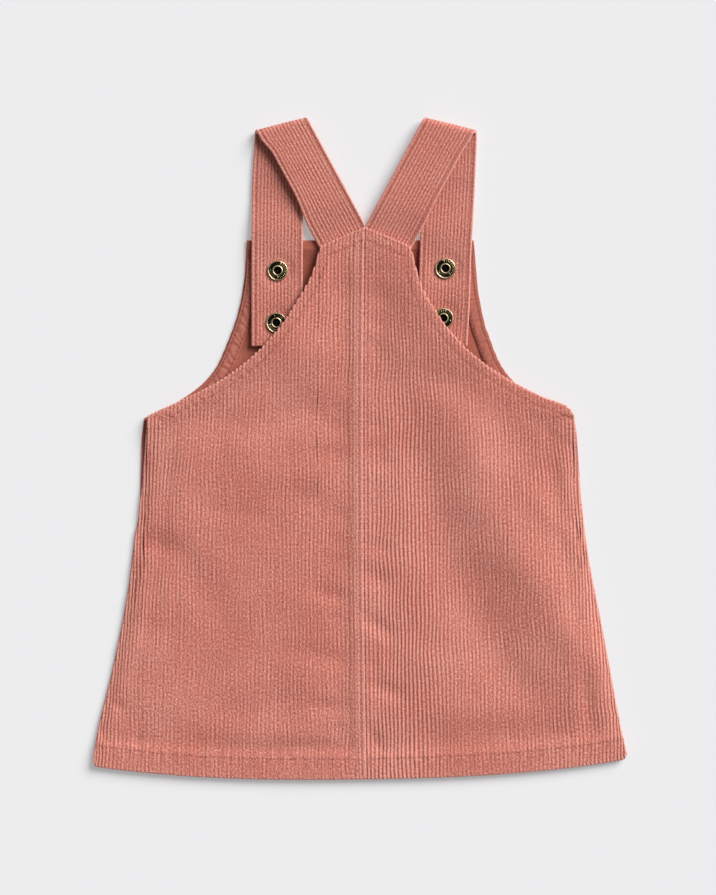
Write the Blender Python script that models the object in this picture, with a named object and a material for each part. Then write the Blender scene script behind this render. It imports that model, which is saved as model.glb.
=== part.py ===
"""Toddler's corduroy pinafore dress, laid flat with its back uppermost.

The dress lies on the plane z = 0: +X is to the right as it is looked down on, +Y runs from the hem to
the shoulders and +Z is up. Two half-backs lie on the front panel and meet it along the side seams. Each
strap leaves the top of the back, folds over at the shoulder and lies down the inside of the bib, where
two snap posts are set in it.

Sizes and tables are in millimetres, in the garment's own plan: x from the middle of the hem's width and
y up from the foot of the centre-back seam. Each object's mesh is in metres, with its origin at the middle
of the dress on the surface that it lies on.
"""

import math

import bpy
import numpy as np

MM = 0.001

# Driving dimensions, in millimetres.
OVERALL_LENGTH = 408.0  # lowest point of the hem to shoulder folds
HEM_WIDTH = 329.6
BACK_LENGTH = 340.2  # hem to the point of the back, along the centre-back seam
BIB_TOP = 332.2  # hem to the top of the bib
CLOTH = 1.3  # one layer of corduroy
TURNED = 1.0  # what a turned-in hem or edge adds to it
TAPE = 1.0  # thickness of a facing
STRAP = 2.4  # thickness of a strap, two layers turned in
STRAP_WIDTH = 31.6
GAP = 0.3  # between pieces that touch

# Hem: an arc that rises to the side seams, a little more on the right.
HEM_DEPTH = 12.8
HEM_RISE = 10.4
HEM_POWER = 2.55
HEM_TILT = 0.0138
HEM_LOWEST = -0.26  # the arc's lowest point, a little left of the seam
HEM_MIDDLE = -0.75  # the middle of the hem's width, from the line that x is counted from
CORNER_OUT = 0.7  # how far the hem's corners stand out beyond the first row of the side seams
CORNER_RADIUS = 2.8
FRONT_SHORTER = 1.0  # how much higher the front's hem lies

# Side seams: height above the hem, and how far out each side lies there.
SIDES = (
    # height, left, right
    (18, 164.7, 163.2),
    (32, 162.2, 160.0),
    (64, 154.4, 154.0),
    (106, 145.8, 146.1),
    (134, 141.5, 140.5),
    (151, 139.7, 138.0),
    (158, 138.0, 137.2),
    (168, 137.0, 136.0),
    (182, 135.4, 134.8),
    (200, 133.9, 133.4),
    (212, 133.0, 132.8),
    (223.8, 131.7, 130.9),
)

# Armholes of the back, from the side seams up to the corners where the straps leave.
BACK_ARMHOLES = (
    # height, left, right
    (223.8, 131.7, 130.9),
    (226.5, 126.6, 129.8),
    (230, 118.8, 126.3),
    (236, 105.8, 111.0),
    (246, 86.6, 91.6),
    (255, 74.0, 77.4),
    (266, 61.4, 63.8),
    (279, 50.0, 52.2),
    (288, 43.8, 46.1),
    (297, 38.3, 40.3),
    (306, 33.0, 36.1),
    (318, 28.2, 32.9),
    (328.2, 25.6, 30.3),
)

# Armholes of the front, from the side seams up to the corners of the bib.
FRONT_ARMHOLES = (
    # height, left, right
    (222.4, 134.2, 130.4),
    (226, 126.8, 124.2),
    (233, 112.8, 111.2),
    (245, 96.7, 94.0),
    (255, 88.9, 86.2),
    (264.5, 84.5, 81.8),
    (272, 81.5, 79.1),
    (280, 78.4, 76.2),
    (289, 75.7, 74.2),
    (296, 74.2, 72.8),
    (306, 72.5, 71.3),
    (318, 71.6, 70.3),
    (332.2, 71.4, 69.4),
)

# Centre-back seam: height above the hem, and how far it wanders to the right.
CENTRE_SEAM = (
    # height, right
    (0, 3.3),
    (60, 2.3),
    (150, 1.4),
    (240, 1.2),
    (300, 1.6),
    (340.2, 2.2),
)

# The front rolls out from under the back beside the left underarm.
ROLL_HEIGHT = 206.0
ROLL_REACH = 32.0
ROLL_OUT = 2.9

# Heights of the layers over the surface that the dress lies on.
FRONT_TOP = CLOTH
FACING_BASE = FRONT_TOP + GAP
STRAP_BASE = FACING_BASE + TAPE + GAP  # where a strap lies on the bib
STRAP_FLOOR = 0.2  # where it lies beyond the bib
SNAP_SUNK = 0.8  # how far a snap post presses into the strap
SNAP_BASE = STRAP_BASE + STRAP - SNAP_SUNK + GAP
SNAP_HEIGHT = 1.4

# Straps. The bend's radius is to the middle of the strap's thickness.
BEND_RADIUS = 2.5
STRAP_ANGLE = 28.4  # degrees from upright, on the back
FOLD_TILT = 14.0  # degrees from level, of the fold at the shoulder
STRAP_ROOT = 8.0  # length under the top edge of the back
CENTRE_CLEARANCE = 0.4
STRAP_RISES = (362.0, 334.5)  # heights between which a front leg climbs onto the bib
ROOT_DROPS = (38.0, 74.0)  # distances from the fold between which a back leg comes down to its root
STRAP_EDGE = 0.62  # a strap's thickness at its edges, as a share
STRAP_ENDS = 267.2

# Each strap: side (-1 left), where it crosses the back's top edge and the fold's outermost line, and how far
# its outer edge tucks in just behind the fold.
STRAP_COLUMNS = ("side", "root_x", "root_y", "fold_x", "fold_y", "tuck")
STRAPS = {
    "left": (-1, -11.1, 334.2, -48.5, 404.3, 2.2),
    "right": (1, 15.9, 334.2, 53.5, 404.3, 0.7),
}

# How far each front leg has wandered to the right, by its distance down from the fold.
LEG_DRIFTS = (
    # distance, left strap, right strap
    (0, -0.5, 0.9),
    (35, -1.9, -0.9),
    (70, -1.9, -3.2),
    (100, -1.75, -4.4),
    (140, -1.4, -7.2),
)

# Snap posts: which strap, and the centre.
SNAPS = (
    # strap, row, x, y
    ("left", "upper", -51.6, 313.4),
    ("left", "lower", -52.4, 281.3),
    ("right", "upper", 51.7, 314.7),
    ("right", "lower", 50.4, 284.1),
)
SNAP_RADIUS = 6.25
SNAP_HOLE = 2.2
SNAP_RING = 3.1
SNAP_SIDES = 24

# Largest soft folds of the back: the ends of each fold, its half-width and its height.
FOLDS = (
    # x0, y0, x1, y1, half_width, height
    (30, 232, 84, 112, 26, 0.9),
    (92, 96, 150, 40, 20, 0.7),
    (-60, 214, -104, 110, 30, 0.8),
    (-30, 30, -44, 150, 24, 0.6),
    (62, 20, 54, 110, 22, 0.6),
)

MATERIALS = {
    # name: (linear base colour, roughness, metallic)
    "corduroy": ((0.54, 0.19, 0.145), 0.9, 0.0),
    "facing": ((0.50, 0.17, 0.115), 0.85, 0.0),
    "antique_brass": ((0.42, 0.33, 0.17), 0.38, 1.0),
}


def smooth(share):
    """Eases a share that runs from 0 to 1, flat at both ends."""
    share = np.clip(share, 0.0, 1.0)
    return share * share * (3.0 - 2.0 * share)


def ramp(value, start, end):
    """0 at start and 1 at end, eased."""
    return smooth((np.asarray(value, float) - start) / (end - start))


def curve(rows, column, at):
    """A table's column read at the values of its first column, on a smooth curve that doesn't overshoot."""
    keys = np.array([row[0] for row in rows], float)
    values = np.array([row[column] for row in rows], float)
    steps = np.diff(values) / np.diff(keys)
    slopes = np.zeros(len(keys))
    slopes[0], slopes[-1] = steps[0], steps[-1]
    same_way = steps[:-1] * steps[1:] > 0
    means = 2 * steps[:-1] * steps[1:] / np.where(same_way, steps[:-1] + steps[1:], 1.0)
    slopes[1:-1] = np.where(same_way, means, 0.0)
    at = np.clip(np.asarray(at, float), keys[0], keys[-1])
    i = np.clip(np.searchsorted(keys, at, side="right") - 1, 0, len(keys) - 2)
    width = keys[i + 1] - keys[i]
    t = (at - keys[i]) / width
    first = values[i] * (1 + 2 * t) * (1 - t) ** 2 + values[i + 1] * t * t * (3 - 2 * t)
    return first + width * (slopes[i] * t * (1 - t) ** 2 + slopes[i + 1] * t * t * (t - 1))


def hem_height(x):
    return HEM_RISE * np.abs(np.asarray(x, float) / (HEM_WIDTH / 2)) ** HEM_POWER + HEM_TILT * np.asarray(x)


def fall_to_hem(x, foot, share, lift):
    """How far a row of a panel's grid leaves its straight line, so that the lowest row is the hem's arc."""
    return (hem_height(x) + lift - foot) * (1.0 - smooth(share / 0.3))


def distance_to(points, line):
    """The distance in plan from each point to the nearest part of a line of points."""
    a, b = line[:-1], line[1:]
    along = b - a
    from_a = points[..., None, :] - a
    share = np.clip((from_a * along).sum(-1) / (along * along).sum(-1), 0.0, 1.0)
    return np.linalg.norm(from_a - share[..., None] * along, axis=-1).min(-1)


def plateau(across, along, half_across, half_along, soft):
    """1 within a rectangle about the origin, falling to 0 over the width soft outside it."""
    beyond = np.hypot(
        np.maximum(np.abs(across) - half_across, 0.0),
        np.maximum(np.abs(along) - half_along, 0.0),
    )
    return 1.0 - ramp(beyond, 0.0, soft)


def edge_rows(table, side, spacing):
    """Points along a table's edge on one side, from bottom to top, about spacing apart."""
    heights = np.linspace(table[0][0], table[-1][0], 600)
    column = 1 if side < 0 else 2
    points = np.column_stack([side * curve(table, column, heights), heights])
    lengths = np.concatenate([[0.0], np.cumsum(np.linalg.norm(np.diff(points, axis=0), axis=1))])
    count = max(2, round(lengths[-1] / spacing) + 1)
    even = np.linspace(0.0, lengths[-1], count)
    return np.column_stack([np.interp(even, lengths, points[:, i]) for i in (0, 1)])


def front_armhole(side):
    return edge_rows(FRONT_ARMHOLES, side, 4.0)


def back_underside(x, y):
    """How high the underside of the back lies: on the front, and over what lies on the front."""
    points = np.stack([x, y], -1)
    from_hem = y - hem_height(x)
    side_x = np.where(x < 0, curve(SIDES, 1, y), curve(SIDES, 2, y))
    from_side = np.where(y < SIDES[-1][0], side_x - np.abs(x), 40.0)
    open_field = 0.6 * ramp(from_side, 1.0, 9.0) * ramp(from_hem, 10.0, 34.0)
    allowance = 0.9 * ramp(from_side, 1.0, 7.0) * (1.0 - ramp(from_side, 8.0, 18.0))
    allowance = allowance * ramp(from_hem, 6.0, 30.0)
    height = FRONT_TOP + GAP + 0.05 + open_field + allowance
    for x0, y0, x1, y1, half_width, rise in FOLDS:
        length = math.hypot(x1 - x0, y1 - y0)
        ux, uy = (x1 - x0) / length, (y1 - y0) / length
        along = (x - x0) * ux + (y - y0) * uy
        across = (x - x0) * uy - (y - y0) * ux
        ends = ramp(along, -20.0, 20.0) * (1.0 - ramp(along, length - 20.0, length + 20.0))
        inside = ramp(from_side, 4.0, 24.0) * ramp(from_hem, 14.0, 30.0)
        height = height + rise * ends * inside * np.exp(-((across / half_width) ** 2))
    layers = [height, (FRONT_TOP + TURNED + GAP + 0.05) * (1.0 - ramp(from_hem, HEM_DEPTH, 24.0))]
    top_edge = plateau(x - 2.4, y - 333.0, 28.0, 11.0, 32.0)
    layers.append((STRAP_BASE + STRAP + 0.3) * top_edge)
    for side in (-1, 1):
        near_facing = 1.0 - ramp(distance_to(points, front_armhole(side)), 12.0, 26.0)
        layers.append((STRAP_BASE + 0.15) * near_facing)
        leg_x = 51.4 * side
        on_strap = plateau(x - leg_x, y - 284.0, 17.0, 19.0, 34.0)
        layers.append((STRAP_BASE + STRAP + GAP + 0.25) * on_strap)
    for _, row, snap_x, snap_y in SNAPS:
        if row == "lower":
            away = np.hypot(x - snap_x, y - snap_y)
            layers.append((SNAP_BASE + SNAP_HEIGHT + 0.55) * (1.0 - ramp(away, 9.0, 36.0)))
    power = 8.0
    return sum(np.maximum(layer, 0.0) ** power for layer in layers) ** (1.0 / power)


def write_mesh(name, points, faces, material):
    """One object from points in millimetres in the garment's plan, moved to the dress's middle."""
    middle = np.array([HEM_MIDDLE, HEM_LOWEST + OVERALL_LENGTH / 2, 0.0])
    mesh = bpy.data.meshes.new(name)
    mesh.from_pydata(((np.asarray(points) - middle) * MM).tolist(), [], faces)
    mesh.validate()
    mesh.update()
    mesh.shade_smooth()
    mesh.set_sharp_from_angle(angle=math.radians(40))
    mesh.materials.append(material)
    made = bpy.data.objects.new(name, mesh)
    bpy.context.scene.collection.objects.link(made)
    return made


def sheet_solid(name, upper, lower, material):
    """A closed wall between two grids of points, rows by columns, the upper one seen from above."""
    rows, columns = upper.shape[:2]
    count = rows * columns
    index = np.arange(count).reshape(rows, columns)
    faces = []
    for r in range(rows - 1):
        for c in range(columns - 1):
            quad = [index[r, c], index[r, c + 1], index[r + 1, c + 1], index[r + 1, c]]
            faces.append([int(i) for i in quad])
            faces.append([int(i) + count for i in reversed(quad)])
    rim = [*index[0, :-1], *index[:-1, -1], *index[-1, :0:-1], *index[:0:-1, 0]]
    for a, b in zip(rim, rim[1:] + rim[:1]):
        faces.append([int(b), int(a), int(a) + count, int(b) + count])
    points = np.concatenate([upper.reshape(-1, 3), lower.reshape(-1, 3)])
    return write_mesh(name, points, faces, material)


def spaced(width, near_edge, middle_count):
    """Shares across a width: close at both edges, even between."""
    inset = np.array(near_edge, float)
    inset = inset * min(1.0, 0.4 * width / inset[-1])
    middle = np.linspace(inset[-1], width - inset[-1], middle_count + 1)
    return np.concatenate([inset[:-1], middle, width - inset[:-1][::-1]]) / width


def outer_edge(sides, armholes, side, hem_lift):
    """The outer edge of a panel: round the hem's corner, up the side seam and up the armhole."""
    lower = edge_rows(sides, side, 13.0)
    upper = edge_rows(armholes, side, 6.5)
    upper[0] = (lower[-1] + upper[0]) / 2
    out = lower[0, 0] + side * CORNER_OUT
    low = float(hem_height(out)) + hem_lift
    corner = np.array([[out - side * CORNER_RADIUS, low], [out, low + CORNER_RADIUS]])
    return np.concatenate([corner, lower[:-1], upper])


def half_back(name, side, material):
    """One half of the back, from the centre-back seam out to the side seam and the armhole."""
    outer = outer_edge(SIDES, BACK_ARMHOLES, side, 0.0)
    top, bottom = outer[-1, 1], outer[0, 1]
    low_in = float(hem_height(CENTRE_SEAM[0][1]))
    grid = []
    for x_out, y_out in outer:
        share = (y_out - bottom) / (top - bottom)
        y_in = y_out + (low_in - bottom) * (1.0 - smooth(share / 0.3))
        y_in += (BACK_LENGTH - top) * max(0.0, (share - 0.66) / 0.34) ** 1.5
        x_in = float(curve(CENTRE_SEAM, 1, y_in)) + side * GAP / 2
        u = spaced(abs(x_out - x_in), (0.0, 1.4, 9.0), 9)
        x = x_in + (x_out - x_in) * u
        y = y_in + (y_out - y_in) * u + fall_to_hem(x, (1.0 - u) * low_in + u * bottom, share, 0.0)
        grid.append(np.column_stack([x, y]))
    grid = np.array(grid)
    x, y = grid[..., 0], grid[..., 1]
    armhole = edge_rows(BACK_ARMHOLES, side, 4.0)
    seam_heights = np.linspace(0.0, BACK_LENGTH, 60)
    top_line = np.array([[curve(CENTRE_SEAM, 1, BACK_LENGTH), BACK_LENGTH], armhole[-1]])
    turned = 1.0 - ramp(y - hem_height(x), HEM_DEPTH, HEM_DEPTH + 3.0)
    turned = np.maximum(turned, 1.0 - ramp(distance_to(grid, armhole), 7.5, 11.0))
    turned = np.maximum(turned, 1.0 - ramp(distance_to(grid, top_line), 9.0, 13.0))
    seam = np.column_stack([curve(CENTRE_SEAM, 1, seam_heights), seam_heights])
    allowance = 0.5 * (1.0 - ramp(distance_to(grid, seam), 7.0, 12.0))
    underside = back_underside(x, y)
    topside = underside + CLOTH + TURNED * np.maximum(turned, allowance)
    order = slice(None) if side > 0 else slice(None, None, -1)
    upper = np.dstack([grid, topside])[:, order]
    lower = np.dstack([grid, underside])[:, order]
    return sheet_solid(name, upper, lower, material)


def front_sides():
    """The front's side seams: under the back's, but rolled out beside the left underarm."""
    rows = []
    for height, left, right in SIDES[:-1]:
        roll = ROLL_OUT * (1.0 - smooth(abs(height - ROLL_HEIGHT) / ROLL_REACH))
        rows.append((height, left + roll - 0.3, right - 0.5))
    rows.append(FRONT_ARMHOLES[0])
    return tuple(rows)


def front_thickness(grid):
    """The height of the front's upper side: thicker at the hem and at the top of the bib."""
    x, y = grid[..., 0], grid[..., 1]
    turned = 1.0 - ramp(y - hem_height(x), HEM_DEPTH, HEM_DEPTH + 3.0)
    turned = np.maximum(turned, ramp(y, BIB_TOP - 10.5, BIB_TOP - 7.5))
    return CLOTH + TURNED * turned


def front_panel(material):
    """The front and bib in one, flat on the surface, with its outer side down."""
    sides = front_sides()
    left, right = (outer_edge(sides, FRONT_ARMHOLES, side, FRONT_SHORTER) for side in (-1, 1))
    grid = []
    for (x_left, y_left), (x_right, y_right) in zip(left, right):
        share = (y_left - left[0, 1]) / (left[-1, 1] - left[0, 1])
        u = spaced(x_right - x_left, (0.0, 1.4, 9.0), 16)
        x = x_left + (x_right - x_left) * u
        foot = (1.0 - u) * left[0, 1] + u * right[0, 1]
        y = y_left + (y_right - y_left) * u + fall_to_hem(x, foot, share, FRONT_SHORTER)
        grid.append(np.column_stack([x, y]))
    grid = np.array(grid)
    upper = np.dstack([grid, front_thickness(grid)])
    lower = np.dstack([grid, np.zeros(grid.shape[:2])])
    return sheet_solid("front", upper, lower, material)


def facing(name, side, material):
    """The tape round the inside of one of the front's armholes, from the bib's hem to the side seam."""
    table = tuple(row for row in FRONT_ARMHOLES if row[0] < BIB_TOP - 12.0)
    column = 1 if side < 0 else 2
    top = BIB_TOP - 11.5
    crossing = float(curve(FRONT_ARMHOLES, column, top))
    table = (*table, (top, crossing, crossing))
    edge = edge_rows(table, side, 6.0)
    along = np.gradient(edge, axis=0)
    along /= np.linalg.norm(along, axis=1)[:, None]
    inward = np.column_stack([-along[:, 1], along[:, 0]])
    inward = inward * np.sign((inward * (np.array([0.0, 250.0]) - edge)).sum(1))[:, None]
    insets = np.array([1.1, 2.6, 5.0, 8.8])
    grid = edge[:, None, :] + insets[None, :, None] * inward[:, None, :]
    if side > 0:
        grid = grid[:, ::-1]
    heights = np.array([0.7, 1.0, 1.0, 0.85]) * TAPE
    heights = heights if side < 0 else heights[::-1]
    base = np.full(grid.shape[:2], FACING_BASE)
    return sheet_solid(name, np.dstack([grid, base + heights]), np.dstack([grid, base]), material)


class StrapForm:
    """A band that bends over at the shoulder about an axis along its fold, worked out from the flat band.

    Along the flat band, place is the distance from the fold, below 0 on the back leg; across runs from
    -half to +half of the width; lift is the distance from the middle of the thickness, above 0 on the side
    that is uppermost on the back.
    """

    def __init__(self, row):
        for column, value in zip(STRAP_COLUMNS, row):
            setattr(self, column, value)
        tilt = math.radians(FOLD_TILT)
        lean = math.radians(STRAP_ANGLE)
        self.fold_way = np.array([math.cos(tilt), -self.side * math.sin(tilt)])
        self.over = np.array([self.side * math.sin(tilt), math.cos(tilt)])
        self.way = np.array([self.side * math.sin(lean), math.cos(lean)])
        self.across_way = np.array([math.cos(lean), -self.side * math.sin(lean)])
        outermost = np.array([self.fold_x, self.fold_y])
        self.fold = outermost - self.over * (BEND_RADIUS + STRAP / 2)
        self.skew = -float(self.across_way @ self.over) / float(self.way @ self.over)
        self.arc = math.pi * BEND_RADIUS
        self.bend_height = STRAP_FLOOR + STRAP / 2 + BEND_RADIUS
        self.root_place = -math.hypot(self.fold_x - self.root_x, self.fold_y - self.root_y)

    def sheared(self, place, across):
        """The place of a point on a slanting row: level with the fold there, square at both ends."""
        reach = 1.0 - ramp(abs(place), 12.0, 60.0)
        return place + self.skew * across * reach

    def half_width(self, place):
        """Half of the band's width towards its outer edge, which tucks in just behind the fold."""
        tucked = self.tuck * ramp(place, -62.0, -38.0) * (1.0 - ramp(place, -14.0, -2.0))
        return STRAP_WIDTH / 2 - tucked

    def point(self, place, share, lift):
        """A point of the strap, share running from -1 on its left edge to 1 on its right."""
        across = STRAP_WIDTH / 2 * share
        if share * self.side > 0:
            across = self.half_width(place) * share
        place = self.sheared(place, across)
        flat = place * self.way + across * self.across_way
        beyond = float(flat @ self.over)
        along = float(flat @ self.fold_way)
        if beyond < 0.0:
            turn, out = 0.0, beyond
        elif beyond < self.arc:
            turn = beyond / BEND_RADIUS
            out = BEND_RADIUS * math.sin(turn)
        else:
            turn, out = math.pi, self.arc - beyond
        plan = self.fold + along * self.fold_way + out * self.over
        height = self.bend_height + BEND_RADIUS * math.cos(turn)
        if beyond < 0.0:
            root_height = STRAP_BASE - 0.25 + STRAP / 2
            height += (root_height - height) * float(ramp(-beyond, *ROOT_DROPS))
            plan[0] = self.clear_of_centre(plan)
        else:
            drift = float(curve(LEG_DRIFTS, 1 if self.side < 0 else 2, max(beyond - self.arc, 0.0)))
            plan[0] += drift * float(ramp(turn, 0.0, math.pi))
            height += (STRAP_BASE + STRAP / 2 - height) * float(ramp(plan[1], *STRAP_RISES))
        plan = plan + lift * math.sin(turn) * self.over
        return np.array([plan[0], plan[1], height + lift * math.cos(turn)])

    def clear_of_centre(self, plan):
        """The root stops at the centre-back seam, where it meets the other strap's."""
        centre = float(curve(CENTRE_SEAM, 1, BACK_LENGTH))
        limit = centre + self.side * CENTRE_CLEARANCE
        return max(plan[0], limit) if self.side > 0 else min(plan[0], limit)


def strap(name, row, snaps, material):
    """One strap, as a closed band round its middle surface, pressed in under its snap posts."""
    form = StrapForm(row)
    front_length = form.fold[1] - STRAP_ENDS
    bend_places = np.linspace(0.0, form.arc, 9) / float(form.way @ form.over)
    back_places = np.linspace(form.root_place - STRAP_ROOT, -5.0, 13)
    front_places = np.linspace(bend_places[-1] + 3.0, bend_places[-1] + front_length, 26)
    places = np.concatenate([back_places, bend_places, front_places])
    shares = np.array([-1.0, -0.93, -0.5, 0.0, 0.5, 0.93, 1.0])
    thickness = np.array([STRAP_EDGE, 1.0, 1.0, 1.0, 1.0, 1.0, STRAP_EDGE]) * STRAP / 2
    upper, lower = [], []
    for place in places:
        upper.append([form.point(place, s, t) for s, t in zip(shares, thickness)])
        row_below = []
        for s, t in zip(shares, thickness):
            spot = form.point(place, s, 0.0)
            nearest = min(math.hypot(spot[0] - x, spot[1] - y) for x, y in snaps)
            pressed = SNAP_SUNK * (1.0 - float(ramp(nearest, SNAP_RADIUS + 1.8, SNAP_RADIUS + 8.0)))
            on_front = float(ramp(place, 8.0, 20.0))
            row_below.append(form.point(place, s, -t + pressed * on_front))
        lower.append(row_below)
    return sheet_solid(name, np.array(upper), np.array(lower), material)


def turned(name, centre, profile, material):
    """A round piece from a closed profile of radii and heights, listed anticlockwise seen with +Z up."""
    angles = np.arange(SNAP_SIDES) * 2.0 * math.pi / SNAP_SIDES
    points, faces = [], []
    for radius, height in profile:
        for angle in angles:
            points.append((centre[0] + radius * math.cos(angle), centre[1] + radius * math.sin(angle), height))
    count = len(profile)
    for i in range(count):
        for j in range(SNAP_SIDES):
            a, b = i * SNAP_SIDES + j, i * SNAP_SIDES + (j + 1) % SNAP_SIDES
            c, d = ((i + 1) % count) * SNAP_SIDES + j, ((i + 1) % count) * SNAP_SIDES + (j + 1) % SNAP_SIDES
            faces.append([a, b, d, c])
    return write_mesh(name, points, faces, material)


def snap_post(name, centre, material):
    """An open-centred post disc: a rolled rim, a recessed ring and a rolled lip round the hole."""
    z = SNAP_BASE
    profile = (
        (SNAP_HOLE, z),
        (SNAP_RADIUS - 0.5, z),
        (SNAP_RADIUS, z + 0.45),
        (SNAP_RADIUS - 0.15, z + 0.85),
        (SNAP_RADIUS - 0.6, z + 1.0),
        (SNAP_RADIUS - 1.2, z + 0.75),
        (SNAP_RING + 0.3, z + 0.75),
        (SNAP_RING, z + SNAP_HEIGHT - 0.2),
        (SNAP_RING - 0.4, z + SNAP_HEIGHT),
        (SNAP_HOLE, z + SNAP_HEIGHT - 0.2),
    )
    return turned(name, centre, profile, material)


def clear_scene():
    for obj in list(bpy.data.objects):
        bpy.data.objects.remove(obj, do_unlink=True)


def make_material(name):
    colour, roughness, metallic = MATERIALS[name]
    material = bpy.data.materials.new(name)
    material.use_nodes = True
    shader = material.node_tree.nodes["Principled BSDF"]
    shader.inputs["Base Color"].default_value = (*colour, 1.0)
    shader.inputs["Roughness"].default_value = roughness
    shader.inputs["Metallic"].default_value = metallic
    return material


def main():
    clear_scene()
    cloth, tape, brass = (make_material(name) for name in MATERIALS)
    front_panel(cloth)
    half_back("back_left", -1, cloth)
    half_back("back_right", 1, cloth)
    facing("facing_left", -1, tape)
    facing("facing_right", 1, tape)
    for which, row in STRAPS.items():
        on_it = [(x, y) for strap_name, _, x, y in SNAPS if strap_name == which]
        strap(f"strap_{which}", row, on_it, cloth)
    for which, row, x, y in SNAPS:
        snap_post(f"snap_post_{which}_{row}", (x, y), brass)


main()
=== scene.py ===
"""Finished look of a toddler's corduroy pinafore dress that lies flat with its back uppermost.

Sizes and tables are in millimetres, in the garment's own plan: x from the middle of the hem's width and y
up from the foot of the centre-back seam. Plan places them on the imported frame. A wale is one rib of the
corduroy, and a place across the cloth is often counted in wales from the centre-back seam.
"""

import logging
import math
from collections.abc import Callable, Sequence
from dataclasses import dataclass, field, replace
from enum import Enum
from typing import Any

import bpy
import numpy as np
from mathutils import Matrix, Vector


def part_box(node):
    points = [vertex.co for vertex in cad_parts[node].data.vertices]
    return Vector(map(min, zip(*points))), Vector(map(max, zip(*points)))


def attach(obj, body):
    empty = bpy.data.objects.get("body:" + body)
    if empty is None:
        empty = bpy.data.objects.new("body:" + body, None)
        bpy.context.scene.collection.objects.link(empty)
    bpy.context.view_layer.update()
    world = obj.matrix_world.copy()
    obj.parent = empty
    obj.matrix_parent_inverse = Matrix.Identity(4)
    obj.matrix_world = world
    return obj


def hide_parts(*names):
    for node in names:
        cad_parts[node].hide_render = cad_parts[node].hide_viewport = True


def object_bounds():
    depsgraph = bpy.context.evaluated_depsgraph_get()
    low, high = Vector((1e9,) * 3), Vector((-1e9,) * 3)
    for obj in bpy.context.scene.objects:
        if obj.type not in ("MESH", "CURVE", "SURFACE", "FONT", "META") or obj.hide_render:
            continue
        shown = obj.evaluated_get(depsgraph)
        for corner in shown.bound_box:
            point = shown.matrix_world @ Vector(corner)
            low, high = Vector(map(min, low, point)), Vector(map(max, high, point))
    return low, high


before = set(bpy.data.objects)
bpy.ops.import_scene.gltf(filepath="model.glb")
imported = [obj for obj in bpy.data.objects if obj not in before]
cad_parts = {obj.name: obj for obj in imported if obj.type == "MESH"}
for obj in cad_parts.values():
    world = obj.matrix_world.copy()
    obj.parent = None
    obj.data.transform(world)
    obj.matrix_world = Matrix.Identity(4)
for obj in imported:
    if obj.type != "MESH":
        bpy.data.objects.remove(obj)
CAD_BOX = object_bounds()

Array = np.ndarray
MM = 0.001
LOG = logging.getLogger("pinafore")

# Cut and layers, as in the solids.
HEM_RISE = 10.4
HEM_POWER = 2.55
HEM_TILT = 0.0138
HEM_HALF = 164.8
HEM_LOWEST = -0.26
HEM_DEPTH = 12.8
CORNER_OUT = 0.7
CORNER_RADIUS = 2.8
FRONT_SHORTER = 1.0
BACK_LENGTH = 340.2
BIB_TOP = 332.2
CLOTH = 1.3
TURNED = 1.0
TAPE = 1.0
STRAP = 2.4
STRAP_WIDTH = 31.6
GAP = 0.3
WALE = 2.4
FACING_BASE = CLOTH + GAP
STRAP_BASE = FACING_BASE + TAPE + GAP
SNAP_SUNK = 0.8
SNAP_BASE = STRAP_BASE + STRAP - SNAP_SUNK + GAP
SNAP_HEIGHT = 1.4
SNAP_RADIUS = 6.25

SIDES = (
    # height, left, right
    (18, 164.7, 163.2),
    (32, 162.2, 160.0),
    (64, 154.4, 154.0),
    (106, 145.8, 146.1),
    (134, 141.5, 140.5),
    (151, 139.7, 138.0),
    (158, 138.0, 137.2),
    (168, 137.0, 136.0),
    (182, 135.4, 134.8),
    (200, 133.9, 133.4),
    (212, 133.0, 132.8),
    (223.8, 131.7, 130.9),
)
BACK_ARMHOLES = (
    # height, left, right
    (223.8, 131.7, 130.9),
    (226.5, 126.6, 129.8),
    (230, 118.8, 126.3),
    (236, 105.8, 111.0),
    (246, 86.6, 91.6),
    (255, 74.0, 77.4),
    (266, 61.4, 63.8),
    (279, 50.0, 52.2),
    (288, 43.8, 46.1),
    (297, 38.3, 40.3),
    (306, 33.0, 36.1),
    (318, 28.2, 32.9),
    (328.2, 25.6, 30.3),
)
FRONT_ARMHOLES = (
    # height, left, right
    (222.4, 134.2, 130.4),
    (226, 126.8, 124.2),
    (233, 112.8, 111.2),
    (245, 96.7, 94.0),
    (255, 88.9, 86.2),
    (264.5, 84.5, 81.8),
    (272, 81.5, 79.1),
    (280, 78.4, 76.2),
    (289, 75.7, 74.2),
    (296, 74.2, 72.8),
    (306, 72.5, 71.3),
    (318, 71.6, 70.3),
    (332.2, 71.4, 69.4),
)
CENTRE_SEAM = ((0, 3.3), (60, 2.3), (150, 1.4), (240, 1.2), (300, 1.6), (340.2, 2.2))
ROLL_HEIGHT = 206.0
ROLL_REACH = 32.0
ROLL_OUT = 2.9
LEG_DRIFTS = (
    # distance, left strap, right strap
    (0, -0.5, 0.9),
    (35, -1.9, -0.9),
    (70, -1.9, -3.2),
    (100, -1.75, -4.4),
    (140, -1.4, -7.2),
)
SNAPS = (
    # strap, row, x, y
    ("left", "upper", -51.6, 313.4),
    ("left", "lower", -52.4, 281.3),
    ("right", "upper", 51.7, 314.7),
    ("right", "lower", 50.4, 284.1),
)
FOLDS = (
    # x0, y0, x1, y1, half_width, height
    (30, 232, 84, 112, 26, 0.9),
    (92, 96, 150, 40, 20, 0.7),
    (-60, 214, -104, 110, 30, 0.8),
    (-30, 30, -44, 150, 24, 0.6),
    (62, 20, 54, 110, 22, 0.6),
)
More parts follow.
